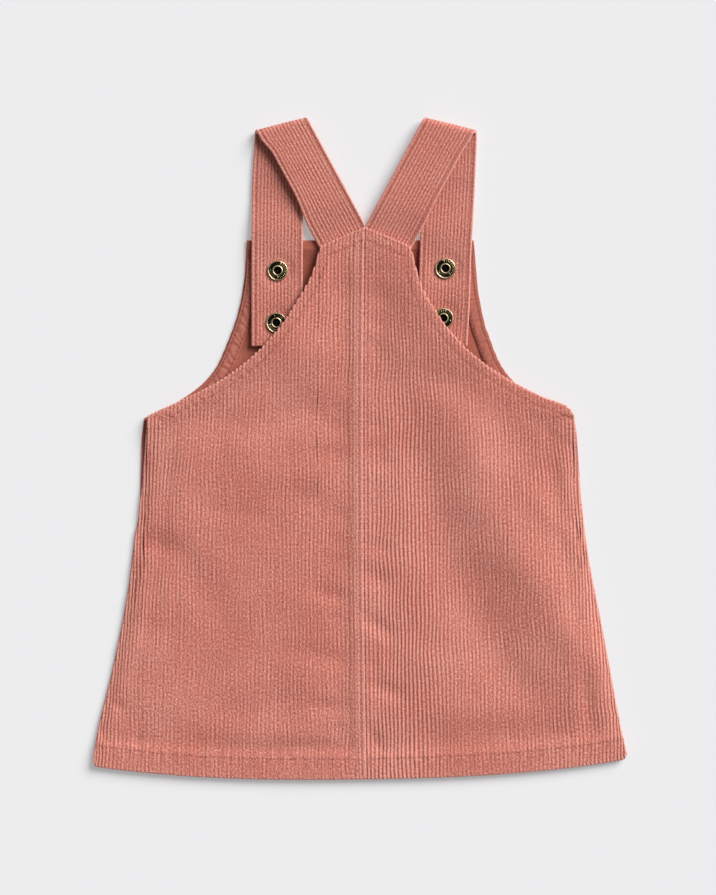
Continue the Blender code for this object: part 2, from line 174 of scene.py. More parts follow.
# Small creases and dents that the solids leave out, below 0 where the cloth sinks.
CREASES = (
    # x0, y0, x1, y1, half_width, height
    # Pulled by the centre-back stitches, right half and then left half.
    (2, 246, 12, 245, 2.6, -0.51),
    (2, 218, 14, 218, 3, -0.85),
    (2, 204, 15, 203, 3, -0.85),
    (3, 196, 20, 194, 3.6, -1.02),
    (2, 168, 12, 169, 3, -0.68),
    (3, 145, 20, 140, 4, -1.02),
    (3, 126, 16, 122, 4, -1.02),
    (2, 99, 20, 88, 4, -1.53),
    (2, 71, 9, 71, 3, -0.68),
    (3, 59, 25, 52, 4, -1.53),
    (5, 30, 13, 12, 4, -1.19),
    (-18, 229, -10, 229, 3, -0.59),
    (-22, 216, -10, 216, 3, -0.68),
    (-28, 200, -10, 200, 3, -0.77),
    (-20, 163, -10, 163, 3, -0.59),
    (-20, 146, -10, 146, 3, -0.68),
    (-24, 134, -10, 135, 3.5, -0.68),
    (-28, 114, -10, 113, 3.5, -1.53),
    (-20, 99, -10, 99, 3, -0.68),
    (-46, 79, -12, 74, 6, -1.02),
    (-16, 71, -10, 71, 2.5, -0.51),
    (-16, 54, -10, 54, 2.5, -0.68),
    (-30, 44, -10, 45, 4, -1.7),
    (-17, 30, -10, 30, 3, -0.85),
    (-44, 20, -13, 20, 2.6, -0.85),
    (-46, 11, -12, 11, 2.6, -0.51),
    # Broad waves of the right half.
    (26, 228, 46, 164, 15, -1.9),
    (46, 164, 74, 92, 18, -2.5),
    (74, 92, 112, 36, 16, -1.7),
    (58, 232, 84, 164, 17, 2.27),
    (84, 164, 122, 98, 19, 3.3),
    (124, 98, 148, 62, 14, 2.27),
    (100, 182, 117, 160, 7, 0.7),
    (117, 160, 136, 144, 6, 0.8),
    (120, 200, 134, 164, 5, 0.4),
    (137, 60, 142, 14, 5, -0.88),
    (100, 226, 119, 214, 4, -0.7),
    (60, 30, 100, 27, 8, -0.88),
    # Broad waves of the left half.
    (-100, 216, -60, 221, 12, -1.4),
    (-60, 221, -20, 230, 11, -1.57),
    (-60, 187, -14, 185, 9, 0.88),
    (-96, 166, -60, 162, 6, -0.61),
    (-142, 147, -114, 142, 7, -1.4),
    (-114, 142, -86, 100, 12, -0.95),
    (-92, 41, -34, 48, 8, -0.88),
    (-84, 27, -16, 26, 7, 1.05),
    (-137, 36, -140, 5, 3, -0.7),
    (-152, 46, -147, 44, 3, -0.88),
    # Puckers of the yoke.
    (5, 300, 28, 291, 4, -1.3),
    (8, 309, 20, 306, 4, 1.1),
    (-26, 304, -18, 306, 3.5, -1.2),
    (-22, 318, -6, 318, 3, -0.9),
    (-14, 330, -2, 334, 2.4, -0.7),
    (4, 322, 24, 319, 3.4, -1.0),
    (3, 283, 20, 279, 3.4, -0.9),
    (3, 268, 17, 265, 3, -0.8),
    (-24, 269, -10, 266, 4, -0.8),
)


class Side(Enum):
    """The left or the right of the dress as it is looked down on."""

    LEFT = -1
    RIGHT = 1

    @property
    def word(self) -> str:
        """The side's name in the names of pieces."""
        return self.name.lower()

    @property
    def column(self) -> int:
        """The side's column in the tables."""
        return 1 if self is Side.LEFT else 2


def smooth(share: Array | float) -> Array:
    """Eases a share that runs from 0 to 1, flat at both ends."""
    share = np.clip(share, 0.0, 1.0)
    return share * share * (3.0 - 2.0 * share)


def ramp(value: Array | float, start: float, end: float) -> Array:
    """0 at start and 1 at end, eased."""
    return smooth((np.asarray(value, float) - start) / (end - start))


def bell(away: Array, width: float) -> Array:
    """1 where away is 0, dying away on both sides over about the width given."""
    return np.exp(-((away / width) ** 2))


def rounded_off(away: Array, radius: float) -> Array:
    """How far a rounded edge drops, from almost 1 at the edge to 0 at the radius and beyond.

    Args:
        away: Distances from the edge.
        radius: Radius of the rounding.

    Returns:
        The share of the drop at each place.
    """
    turn = 1.0 - np.clip(away / radius, 0.0, 1.0)
    return 1.0 - np.sqrt(1.0 - turn * turn * 0.96)


def curve(rows: Sequence[Sequence[float]], column: int, at: Array | float) -> Array:
    """Reads a table on a smooth curve that doesn't overshoot.

    Args:
        rows: The table, whose first column rises.
        column: Which column to read.
        at: Values of the first column.

    Returns:
        The column's value at each of them.
    """
    keys = np.array([row[0] for row in rows], float)
    values = np.array([row[column] for row in rows], float)
    steps = np.diff(values) / np.diff(keys)
    slopes = np.zeros(len(keys))
    slopes[0], slopes[-1] = steps[0], steps[-1]
    same_way = steps[:-1] * steps[1:] > 0
    means = 2 * steps[:-1] * steps[1:] / np.where(same_way, steps[:-1] + steps[1:], 1.0)
    slopes[1:-1] = np.where(same_way, means, 0.0)
    at = np.clip(np.asarray(at, float), keys[0], keys[-1])
    i = np.clip(np.searchsorted(keys, at, side="right") - 1, 0, len(keys) - 2)
    width = keys[i + 1] - keys[i]
    t = (at - keys[i]) / width
    first = values[i] * (1 + 2 * t) * (1 - t) ** 2 + values[i + 1] * t * t * (3 - 2 * t)
    return first + width * (slopes[i] * t * (1 - t) ** 2 + slopes[i + 1] * t * t * (t - 1))


def hem_height(x: Array | float) -> Array:
    """Height of the hem's arc above its middle, for each place across."""
    x = np.asarray(x, float)
    return HEM_RISE * np.abs(x / HEM_HALF) ** HEM_POWER + HEM_TILT * x


def seam_x(y: Array | float) -> Array:
    """How far right the centre-back seam lies at each height."""
    return curve(CENTRE_SEAM, 1, y)


def table_edge(table: Sequence[Sequence[float]], side: Side, count: int) -> Array:
    """Points along a table's edge on one side, from bottom to top.

    Args:
        table: Rows of height, left and right.
        side: Which side to read.
        count: How many points, evenly spaced along the edge.

    Returns:
        The points, as rows of x and y.
    """
    heights = np.linspace(table[0][0], table[-1][0], 900)
    points = np.column_stack([side.value * curve(table, side.column, heights), heights])
    return even_points(points, count)


def even_points(line: Array, count: int) -> Array:
    """A line of points read again at even spacing.

    Args:
        line: Rows of coordinates.
        count: How many points to give back.

    Returns:
        The new points.
    """
    lengths = np.concatenate([[0.0], np.cumsum(np.linalg.norm(np.diff(line, axis=0), axis=1))])
    even = np.linspace(0.0, lengths[-1], count)
    return np.column_stack([np.interp(even, lengths, line[:, i]) for i in range(line.shape[1])])


def line_length(line: Array) -> float:
    """Length of a line of points."""
    return float(np.linalg.norm(np.diff(line, axis=0), axis=1).sum())


def nearest(x: Array, y: Array, line: Array) -> tuple[Array, Array]:
    """Finds the nearest place on a line for each point in plan.

    Args:
        x: Places across.
        y: Heights above the hem, of the same shape.
        line: The line's points.

    Returns:
        The distance to the line, and how far along it the nearest place lies.
    """
    points = np.stack([np.ravel(x), np.ravel(y)], -1).astype(float)
    starts = line[:-1]
    along = np.diff(line, axis=0)
    squares = (along * along).sum(-1)
    before = np.concatenate([[0.0], np.cumsum(np.sqrt(squares))])[:-1]
    away = np.empty(len(points))
    place = np.empty(len(points))
    for first in range(0, len(points), 4096):
        some = slice(first, first + 4096)
        offset = points[some, None, :] - starts
        share = np.clip((offset * along).sum(-1) / squares, 0.0, 1.0)
        distance = np.linalg.norm(offset - share[..., None] * along, axis=-1)
        best = distance.argmin(-1)
        rows = np.arange(len(best))
        away[some] = distance[rows, best]
        place[some] = before[best] + share[rows, best] * np.sqrt(squares[best])
    return away.reshape(np.shape(x)), place.reshape(np.shape(x))


def plateau(across: Array, along: Array, half_across: float, half_along: float, soft: float) -> Array:
    """1 within a rectangle about the origin, falling to 0 over the width soft outside it.

    Args:
        across: Distances across from the rectangle's middle.
        along: Distances along from its middle.
        half_across: Half of its width.
        half_along: Half of its length.
        soft: Width over which it falls.

    Returns:
        The share at each place.
    """
    out_across = np.maximum(np.abs(across) - half_across, 0.0)
    out_along = np.maximum(np.abs(along) - half_along, 0.0)
    return 1.0 - ramp(np.hypot(out_across, out_along), 0.0, soft)


def crease_at(x: Array, y: Array, row: Sequence[float], end: float) -> Array:
    """Height that one row of a crease table adds.

    Args:
        x: Places across.
        y: Heights above the hem.
        row: The crease's ends, half-width and height.
        end: Length over which it dies away at each end.

    Returns:
        The height added at each place.
    """
    x0, y0, x1, y1, half_width, height = row
    length = math.hypot(x1 - x0, y1 - y0)
    ux, uy = (x1 - x0) / length, (y1 - y0) / length
    along = (x - x0) * ux + (y - y0) * uy
    across = (x - x0) * uy - (y - y0) * ux
    ends = ramp(along, -end, end) * (1.0 - ramp(along, length - end, length + end))
    return height * ends * bell(across, half_width)


class SoftNoise:
    """Smooth random hills made from waves in all directions, mostly between -1 and 1."""

    def __init__(self, seed: int, size: float, stretch: float = 1.0, waves: int = 16) -> None:
        """Draws the waves.

        Args:
            seed: Seed of the random draws.
            size: Typical distance between hills.
            stretch: How many times longer the hills are along y.
            waves: How many waves are added up.
        """
        rng = np.random.default_rng(seed)
        angles = rng.uniform(0.0, 2.0 * math.pi, waves)
        rates = 2.0 * math.pi / (size * rng.uniform(0.75, 1.7, waves))
        self.across = rates * np.cos(angles)
        self.along = rates * np.sin(angles) / stretch
        self.phases = rng.uniform(0.0, 2.0 * math.pi, waves)

    def at(self, x: Array, y: Array) -> Array:
        """The height of the hills at each place.

        Args:
            x: Places across.
            y: Places along.

        Returns:
            The heights.
        """
        total = np.zeros(np.broadcast(x, y).shape)
        for kx, ky, phase in zip(self.across, self.along, self.phases):
            total = total + np.sin(kx * x + ky * y + phase)
        return total * math.sqrt(1.0 / len(self.phases))


class Plan:
    """Places the garment's own plan, in millimetres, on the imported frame, in metres."""

    def __init__(self) -> None:
        """Reads where the half-backs and the front lie."""
        low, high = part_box("back_left")[0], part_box("back_right")[1]
        left = SIDES[0][Side.LEFT.column] + CORNER_OUT
        right = SIDES[0][Side.RIGHT.column] + CORNER_OUT
        self.origin = np.array(
            [
                (low.x + high.x) / 2 / MM - (right - left) / 2,
                low.y / MM - HEM_LOWEST,
                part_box("front")[0].z / MM,
            ]
        )

    def place(self, points: Array) -> Array:
        """Points of the plan as points of the frame, in metres."""
        return (np.asarray(points, float) + self.origin) * MM


class Graph:
    """A short way of adding nodes to a node tree and joining them."""

    def __init__(self, tree: bpy.types.NodeTree) -> None:
        """Keeps the tree that nodes are added to."""
        self.tree = tree

    def add(self, kind: str, inputs: dict[Any, Any] | None = None, **settings: Any) -> bpy.types.Node:
        """Adds one node.

        Args:
            kind: The node's type.
            inputs: A value or another node's socket for each input, by name or number.
            **settings: The node's own properties.

        Returns:
            The new node.
        """
        node = self.tree.nodes.new(kind)
        for name, value in settings.items():
            setattr(node, name, value)
        self.fill(node, inputs or {})
        return node

    def fill(self, node: bpy.types.Node, inputs: dict[Any, Any]) -> None:
        """Sets or joins some inputs of a node.

        Args:
            node: The node.
            inputs: A value or another node's socket for each input, by name or number.
        """
        for key, value in inputs.items():
            if isinstance(value, bpy.types.NodeSocket):
                self.tree.links.new(value, node.inputs[key])
            else:
                node.inputs[key].default_value = value

    def math(
        self, operation: str, first: Any, second: Any = 0.0, clamp: bool = False
    ) -> bpy.types.NodeSocket:
        """The result of a sum on one or two values.

        Args:
            operation: What a Math node calls the sum.
            first: A number or a socket.
            second: A number or a socket.
            clamp: Whether the result is kept from 0 to 1.

        Returns:
            The socket that holds the result.
        """
        node = self.add("ShaderNodeMath", {0: first, 1: second}, operation=operation, use_clamp=clamp)
        return node.outputs[0]

    def spread(
        self, value: Any, low: float, high: float, to_low: float, to_high: float
    ) -> bpy.types.NodeSocket:
        """A value moved from one range to another and held there.

        Args:
            value: A number or a socket.
            low: Bottom of the range that it comes from.
            high: Top of that range.
            to_low: What the bottom becomes.
            to_high: What the top becomes.

        Returns:
            The socket that holds the result.
        """
        inputs = {0: value, 1: low, 2: high, 3: to_low, 4: to_high}
        return self.add("ShaderNodeMapRange", inputs).outputs[0]

    def mix(self, factor: Any, first: Any, second: Any, blend: str = "MIX") -> bpy.types.NodeSocket:
        """Two colours mixed.

        Args:
            factor: How much of the second, as a number or a socket.
            first: A colour or a socket.
            second: A colour or a socket.
            blend: How the second is laid on the first.

        Returns:
            The socket that holds the colour.
        """
        colours = (c if isinstance(c, bpy.types.NodeSocket) else (*c, 1.0) for c in (first, second))
        inputs = dict(zip((0, 6, 7), (factor, *colours)))
        return self.add("ShaderNodeMix", inputs, data_type="RGBA", blend_type=blend).outputs[2]


class Effect:
    """A shader group that several finishes use, built once."""

    def __init__(self, name: str, inputs: dict[str, tuple[str, Any]], outputs: Sequence[str]) -> None:
        """Makes the group and its sockets.

        Args:
            name: The group's name.
            inputs: Each input's socket type and starting value, by name.
            outputs: Names of the outputs, all plain values.
        """
        self.group = bpy.data.node_groups.new(name, "ShaderNodeTree")
        for label, (kind, value) in inputs.items():
            socket = self.group.interface.new_socket(name=label, in_out="INPUT", socket_type=kind)
            if value is not None:
                socket.default_value = value
        for label in outputs:
            self.group.interface.new_socket(name=label, in_out="OUTPUT", socket_type="NodeSocketFloat")
        self.graph = Graph(self.group)
        self.given = self.graph.add("NodeGroupInput").outputs
        self.result = self.graph.add("NodeGroupOutput").inputs

    def put(self, label: str, socket: bpy.types.NodeSocket) -> None:
        """Joins a value to one of the group's outputs."""
        self.group.links.new(socket, self.result[label])

    def use(self, graph: Graph, inputs: dict[str, Any]) -> bpy.types.NodeOutputs:
        """Places the group in a material.

        Args:
            graph: The material's nodes.
            inputs: Values or sockets for the group's inputs.

        Returns:
            The placed group's outputs.
        """
        node = graph.add("ShaderNodeGroup", node_tree=self.group)
        graph.fill(node, inputs)
        return node.outputs


def build_wale_effect() -> Effect:
    """The ribs of corduroy, from a map whose first number counts wales.

    Returns:
        A group that gives the valleys between ribs, and streaks that run along them.
    """
    effect = Effect(
        "corduroy_ribs",
        {
            "Map": ("NodeSocketVector", None),
            "Ribs per Wale": ("NodeSocketFloat", 1.0),
            "Valley Power": ("NodeSocketFloat", 1.4),
        },
        ("Valley", "Streak"),
    )
    graph, given = effect.graph, effect.given
    parts = graph.add("ShaderNodeSeparateXYZ", {0: given["Map"]}).outputs
    across = graph.math("FRACT", graph.math("MULTIPLY", parts[0], given["Ribs per Wale"]))
    from_top = graph.math("MULTIPLY", graph.math("ABSOLUTE", graph.math("SUBTRACT", across, 0.5)), 2.0)
    effect.put("Valley", graph.math("POWER", from_top, given["Valley Power"]))
    stretch = {0: given["Map"], 1: (0.85, 0.045, 1.0)}
    stretched = graph.add("ShaderNodeVectorMath", stretch, operation="MULTIPLY")
    streak = graph.add("ShaderNodeTexNoise", {"Vector": stretched.outputs[0], "Scale": 1.0, "Detail": 2.0})
    effect.put("Streak", streak.outputs[0])
    return effect


def build_nap_effect() -> Effect:
    """The fibres of cloth: a coarse grain, a finer fuzz and wide soft clouds.

    Returns:
        A group that gives each of them as a value from 0 to 1, mostly about a half.
    """
    effect = Effect(
        "fibre_nap",
        {
            "Fine Place": ("NodeSocketVector", None),
            "Wide Place": ("NodeSocketVector", None),
            "Grain Size": ("NodeSocketFloat", 1.0),
            "Cloud Size": ("NodeSocketFloat", 0.05),
        },
        ("Grain", "Fuzz", "Cloud"),
    )
    graph, given = effect.graph, effect.given
    grain_scale = graph.math("DIVIDE", 1.0, given["Grain Size"])
    rows = (
        ("Grain", given["Fine Place"], grain_scale, 1.0),
        ("Fuzz", given["Fine Place"], graph.math("MULTIPLY", grain_scale, 2.3), 2.0),
        ("Cloud", given["Wide Place"], graph.math("DIVIDE", 1.0, given["Cloud Size"]), 3.0),
    )
    for label, place, scale, detail in rows:
        noise = graph.add("ShaderNodeTexNoise", {"Vector": place, "Scale": scale, "Detail": detail})
        effect.put(label, graph.spread(noise.outputs[0], 0.28, 0.72, 0.0, 1.0))
    return effect


def build_wear_and_sheen_effect() -> Effect:
    """How much an edge is lightened, for rubbed wear and a painted sheen on the cloth's rims, broken up by
    the grain.

    Returns:
        A group that gives the share of rubbed wear and painted sheen.
    """
    effect = Effect(
        "worn_and_sheen_edge",
        {
            "Edge": ("NodeSocketFloat", 0.0),
            "Grain": ("NodeSocketFloat", 0.5),
            "Amount": ("NodeSocketFloat", 0.6),
        },
        ("Rubbed",),
    )
    graph, given = effect.graph, effect.given
    broken = graph.spread(given["Grain"], 0.3, 0.7, 0.45, 1.0)
    wear_sheen = graph.math("MULTIPLY", graph.math("MULTIPLY", given["Edge"], broken), given["Amount"], clamp=True)
    effect.put("Rubbed", wear_sheen)
    return effect


@dataclass
class Effects:
    """The groups that the finishes share."""

    ribs: Effect = field(default_factory=build_wale_effect)
    nap: Effect = field(default_factory=build_nap_effect)
    edge_wear_and_sheen: Effect = field(default_factory=build_wear_and_sheen_effect)


def new_material(name: str) -> tuple[bpy.types.Material, Graph, bpy.types.Node]:
    """Starts a new material.

    Args:
        name: The material's name.

    Returns:
        The material, its nodes and its shader.
    """
    material = bpy.data.materials.new(name)
    material.use_nodes = True
    return material, Graph(material.node_tree), material.node_tree.nodes["Principled BSDF"]


def read_value(graph: Graph, name: str) -> bpy.types.NodeSocket:
    """A number that the mesh carries at its points."""
    return graph.add("ShaderNodeAttribute", attribute_name=name).outputs["Fac"]


@dataclass(frozen=True)
class ClothFinish:
    """A fibre cloth with ribs, nap, painted shade in creases and stitch grooves, and edges lightened for
    rubbed wear and a painted sheen.

    A tone from 0 to 1 is added up from the effects, and runs from deep through base to light. Its rib part is
    painted shade in the valleys and a painted highlight on the crowns.
    """

    name: str
    base: tuple[float, float, float]
    deep: tuple[float, float, float]
    light: tuple[float, float, float]
    # ribs: how strongly the rib valleys are painted darker and the crowns lighter, as shade and light.
    ribs: float = 0.62
    ribs_per_wale: float = 1.0
    streaks: float = 0.12
    grain: float = 0.72
    fuzz: float = 0.5
    grain_size: float = 0.95
    grain_length: float = 1.5
    clouds: float = 0.22
    # How much edges are lightened, for rubbed wear and a painted sheen.
    rubbed: float = 0.8
    bump: float = 0.00016
    roughness: float = 0.95
    sheen: float = 0.2

    def tone(
        self, graph: Graph, ribs: bpy.types.NodeOutputs, nap: bpy.types.NodeOutputs
    ) -> bpy.types.NodeSocket:
        """Adds up how light or dark the cloth is.

        Args:
            graph: The material's nodes.
            ribs: Outputs of the ribs' group.
            nap: Outputs of the fibres' group.

        Returns:
            The tone, about a half.
        """
        # Painted shade in the rib valleys and a painted highlight on the crowns, as strong as the mesh's
        # depth values say.
        depth = graph.math("MULTIPLY", read_value(graph, "depth"), -2.0 * self.ribs)
        total = graph.math("MULTIPLY_ADD", graph.math("SUBTRACT", ribs["Valley"], 0.44), depth)
        total.node.inputs[2].default_value = 0.5
        rows = (
            (ribs["Streak"], -self.streaks),
            (nap["Grain"], self.grain),
            (nap["Fuzz"], self.fuzz),
            (nap["Cloud"], self.clouds),
        )
        for value, amount in rows:
            added = graph.add("ShaderNodeMath", {0: graph.math("SUBTRACT", value, 0.5), 1: amount, 2: total})
            added.operation = "MULTIPLY_ADD"
            total = added.outputs[0]
        return total

    def build(self, effects: Effects) -> bpy.types.Material:
        """Makes the material.

        Args:
            effects: The groups that the finishes share.

        Returns:
            The material.
        """
        material, graph, shader = new_material(self.name)
        wide = graph.add("ShaderNodeTexCoord").outputs["Object"]
        ribs_map = graph.add("ShaderNodeUVMap", uv_map="wale").outputs[0]
        stretch = (WALE, WALE / self.grain_length, 1.0)
        fine = graph.add("ShaderNodeVectorMath", {0: ribs_map, 1: stretch}, operation="MULTIPLY").outputs[0]
        ribs = effects.ribs.use(graph, {"Map": ribs_map, "Ribs per Wale": self.ribs_per_wale})
        nap = effects.nap.use(graph, {"Fine Place": fine, "Wide Place": wide, "Grain Size": self.grain_size})
        wear_sheen = {"Edge": read_value(graph, "edge"), "Grain": nap["Grain"], "Amount": self.rubbed}
        rubbed = effects.edge_wear_and_sheen.use(graph, wear_sheen)["Rubbed"]
        tone = self.tone(graph, ribs, nap)
        colour = graph.mix(graph.spread(tone, 0.0, 0.5, 0.0, 1.0), self.deep, self.base)
        colour = graph.mix(graph.spread(tone, 0.5, 1.0, 0.0, 1.0), colour, self.light)
        # Painted shade in stitch grooves, seams, folds and on the straps' front legs, from the mesh's crease
        # values.
        crease = graph.math("MULTIPLY", read_value(graph, "crease"), 0.9)
        colour = graph.mix(crease, colour, tuple(0.4 * c for c in self.deep))
        # Edges lightened: rubbed wear and a painted sheen on the rims and walls.
        colour = graph.mix(rubbed, colour, tuple(min(1.0, 1.15 * c) for c in self.light))
        height = graph.math("ADD", nap["Grain"], graph.math("MULTIPLY", nap["Fuzz"], 0.5))
        bump = graph.add("ShaderNodeBump", {"Strength": 1.0, "Distance": self.bump, "Height": height})
        cloth = {
            "Base Color": colour,
            "Normal": bump.outputs[0],
            "Roughness": self.roughness,
            "Specular IOR Level": 0.1,
            "Sheen Weight": self.sheen,
            "Sheen Roughness": 0.5,
            "Sheen Tint": (1.0, 0.8, 0.74, 1.0),
        }
        graph.fill(shader, cloth)
        return material


@dataclass(frozen=True)
class ThreadFinish:
    """Twisted sewing thread in the cloth's colour, painted darker so that the stitches carry the shade of
    their holes.
    """

    name: str = "topstitch_thread"
    # Darker than the cloth: painted shade of the stitch holes.
    colour: tuple[float, float, float] = (0.36, 0.090, 0.066)
    shine: tuple[float, float, float] = (0.55, 0.18, 0.135)

    def build(self, effects: Effects) -> bpy.types.Material:
        """Makes the material.

        Args:
            effects: The groups that the finishes share.

        Returns:
            The material.
        """
        material, graph, shader = new_material(self.name)
        place = graph.add("ShaderNodeTexCoord").outputs["Object"]
        nap = effects.nap.use(graph, {"Fine Place": place, "Wide Place": place, "Grain Size": 0.0004})
        colour = graph.mix(nap["Grain"], self.colour, self.shine)
        bump = graph.add("ShaderNodeBump", {"Strength": 0.4, "Distance": 0.0001, "Height": nap["Fuzz"]})
        thread = {"Base Color": colour, "Normal": bump.outputs[0], "Roughness": 0.6, "Sheen Weight": 0.15}
        graph.fill(shader, thread)
        return material


@dataclass(frozen=True)
class BrassFinish:
    """Antique brass: bright on the rubbed ridges and almost black in the hollows."""

    name: str = "antique_brass"
    bright: tuple[float, float, float] = (0.86, 0.70, 0.40)
    dull: tuple[float, float, float] = (0.16, 0.12, 0.06)
    black: tuple[float, float, float] = (0.006, 0.0055, 0.005)

    def build(self, effects: Effects) -> bpy.types.Material:
        """Makes the material.

        Args:
            effects: The groups that the finishes share.

        Returns:
            The material.
        """
        material, graph, shader = new_material(self.name)
        place = graph.add("ShaderNodeTexCoord").outputs["Object"]
        sizes = {"Grain Size": 0.0006, "Cloud Size": 0.004}
        nap = effects.nap.use(graph, {"Fine Place": place, "Wide Place": place, **sizes})
        wear_sheen = {"Edge": read_value(graph, "edge"), "Grain": nap["Cloud"], "Amount": 1.25}
        rubbed = effects.edge_wear_and_sheen.use(graph, wear_sheen)["Rubbed"]
        colour = graph.mix(nap["Cloud"], self.dull, self.black)
        # Black in the hollows: patina in the sunk ring, and in the socket a painted shade that stands for its
        # depth.
        colour = graph.mix(read_value(graph, "crease"), colour, self.black)
        colour = graph.mix(rubbed, colour, self.bright)
        roughness = graph.spread(nap["Grain"], 0.0, 1.0, 0.26, 0.5)
        bump = graph.add("ShaderNodeBump", {"Strength": 0.25, "Distance": 0.00008, "Height": nap["Fuzz"]})
        brass = {"Base Color": colour, "Normal": bump.outputs[0], "Roughness": roughness, "Metallic": 1.0}
        graph.fill(shader, brass)
        return material


@dataclass(frozen=True)
class FloorFinish:
    """Matt white board, lit a little from within, so that shadows on it stay pale."""

    name: str = "white_board"
    tone: float = 0.56
    dull: tuple[float, float, float] = (0.98, 0.98, 1.0)
    bright: tuple[float, float, float] = (0.99, 0.99, 1.01)
    glow: float = 0.29
    glow_colour: tuple[float, float, float] = (0.985, 0.985, 1.0)

    def build(self, effects: Effects) -> bpy.types.Material:
        """Makes the material.

        Args:
            effects: The groups that the finishes share.

        Returns:
            The material.
        """
        material, graph, shader = new_material(self.name)
        place = graph.add("ShaderNodeTexCoord").outputs["Object"]
        nap = effects.nap.use(graph, {"Fine Place": place, "Wide Place": place, "Cloud Size": 0.3})
        dull, bright = (tuple(share * self.tone for share in tint) for tint in (self.dull, self.bright))
        board = {
            "Base Color": graph.mix(nap["Cloud"], dull, bright),
            "Roughness": 0.8,
            "Specular IOR Level": 0.2,
            "Emission Color": (*self.glow_colour, 1.0),
            "Emission Strength": self.glow,
        }
        graph.fill(shader, board)
        return material


class Wardrobe:
    """All the finishes, built once and looked up by name."""

    def __init__(self) -> None:
        """Builds every material."""
        effects = Effects()
        pink, deep, light = (0.570, 0.190, 0.144), (0.41, 0.100, 0.068), (0.79, 0.375, 0.312)
        self.corduroy = ClothFinish("corduroy_right_side", pink, deep, light).build(effects)
        # The wrong side is darker than the right side: partly its own tone, partly painted shade for the
        # bib's shaded strips.
        dusk, deep, light = (0.42, 0.125, 0.086), (0.34, 0.085, 0.055), (0.52, 0.19, 0.14)
        inside = ClothFinish("corduroy_wrong_side", dusk, deep, light)
        plain = {"grain": 0.3, "rubbed": 0.4, "bump": 0.00008, "sheen": 0.05}
        self.inside = replace(inside, ribs=0.2, ribs_per_wale=2.0, **plain).build(effects)
        rose, deep, light = (0.47, 0.152, 0.112), (0.36, 0.098, 0.066), (0.60, 0.24, 0.185)
        tape = ClothFinish("facing_tape", rose, deep, light)
        self.tape = replace(tape, ribs=0.0, streaks=0.0, grain_length=1.0, **plain).build(effects)
        self.thread = ThreadFinish().build(effects)
        self.brass = BrassFinish().build(effects)
        self.floor = FloorFinish().build(effects)


@dataclass
class MeshDraft:
    """Points in the garment's plan, in millimetres, and the faces and values that go with them."""

    points: Array
    faces: list[list[int]]
    ribs_map: Array
    edge: Array
    crease: Array
    depth: Array | None = None

    def make(self, name: str, plan: Plan, material: bpy.types.Material, slot: str) -> bpy.types.Object:
        """Makes the object and says what it rides on.

        Args:
            name: The piece's name.
            plan: Where the garment's plan lies on the frame.
            material: Its finish.
            slot: The record's material slot that it stands for; not used.

        Returns:
            The object.
        """
        mesh = bpy.data.meshes.new(name)
        mesh.from_pydata(plan.place(self.points).tolist(), [], self.faces)
        mesh.update()
        corners = np.zeros(len(mesh.loops), np.int32)
        mesh.loops.foreach_get("vertex_index", corners)
        layer = mesh.uv_layers.new(name="wale")
        layer.uv.foreach_set("vector", self.ribs_map[corners].astype(np.float32).ravel())
        depth = np.full(len(self.points), 0.5) if self.depth is None else self.depth
        # edge lightens rims for rubbed wear and a painted sheen; crease is painted shade, and on brass also
        # patina; depth sets the ribs' painted shade.
        for label, values in (("edge", self.edge), ("crease", self.crease), ("depth", depth)):
            attribute = mesh.attributes.new(label, "FLOAT", "POINT")
            attribute.data.foreach_set("value", np.clip(values, 0.0, 1.0).astype(np.float32))
        mesh.shade_smooth()
        mesh.set_sharp_from_angle(angle=math.radians(70))
        mesh.materials.append(material)
        piece = bpy.data.objects.new(name, mesh)
        bpy.context.scene.collection.objects.link(piece)
        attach(piece, "root")
        LOG.info("%s: %d points, %d faces", name, len(self.points), len(self.faces))
        return piece


def quads(index: Array) -> list[list[int]]:
    """Faces of a grid of point numbers, seen from the side on which its rows run up and columns right."""
    grid = np.stack([index[:-1, :-1], index[:-1, 1:], index[1:, 1:], index[1:, :-1]], -1)
    return grid.reshape(-1, 4).tolist()


def skirt(upper: Array, lower: Array, step: int) -> list[list[int]]:
    """Faces between an upper rim and a lower one that has a point for every step points of the upper.

    Args:
        upper: Point numbers along the upper rim, with the outside on its right.
        lower: Point numbers along the lower rim.
        step: How many upper lengths go with one lower length.

    Returns:
        The faces.
    """
    faces = []
    middle = step // 2
    for k in range(len(lower) - 1):
        above = [int(i) for i in upper[k * step : (k + 1) * step + 1]]
        first, second = int(lower[k]), int(lower[k + 1])
        faces += [[above[i + 1], above[i], first] for i in range(middle)]
        faces.append([above[middle], first, second])
        faces += [[above[i + 1], above[i], second] for i in range(middle, step)]
    return faces


def closed_sheet(upper: Array, lower: Array, step: int) -> list[list[int]]:
    """Faces of a closed wall between an upper grid and a lower one with fewer columns.

    Args:
        upper: Upper points, rows by columns.
        lower: Lower points, with the same rows and a column for every step columns of the upper.
        step: How many upper columns go with one lower column.

    Returns:
        The faces, upper points numbered first.
    """
    top = np.arange(upper.shape[0] * upper.shape[1]).reshape(upper.shape[:2])
    under = np.arange(lower.shape[0] * lower.shape[1]).reshape(lower.shape[:2]) + top.size
    faces = quads(top) + quads(under[:, ::-1])
    faces += skirt(top[0], under[0], step)
    faces += skirt(top[:, -1], under[:, -1], 1)
    faces += skirt(top[-1, ::-1], under[-1, ::-1], step)
    faces += skirt(top[::-1, 0], under[::-1, 0], 1)
    return faces


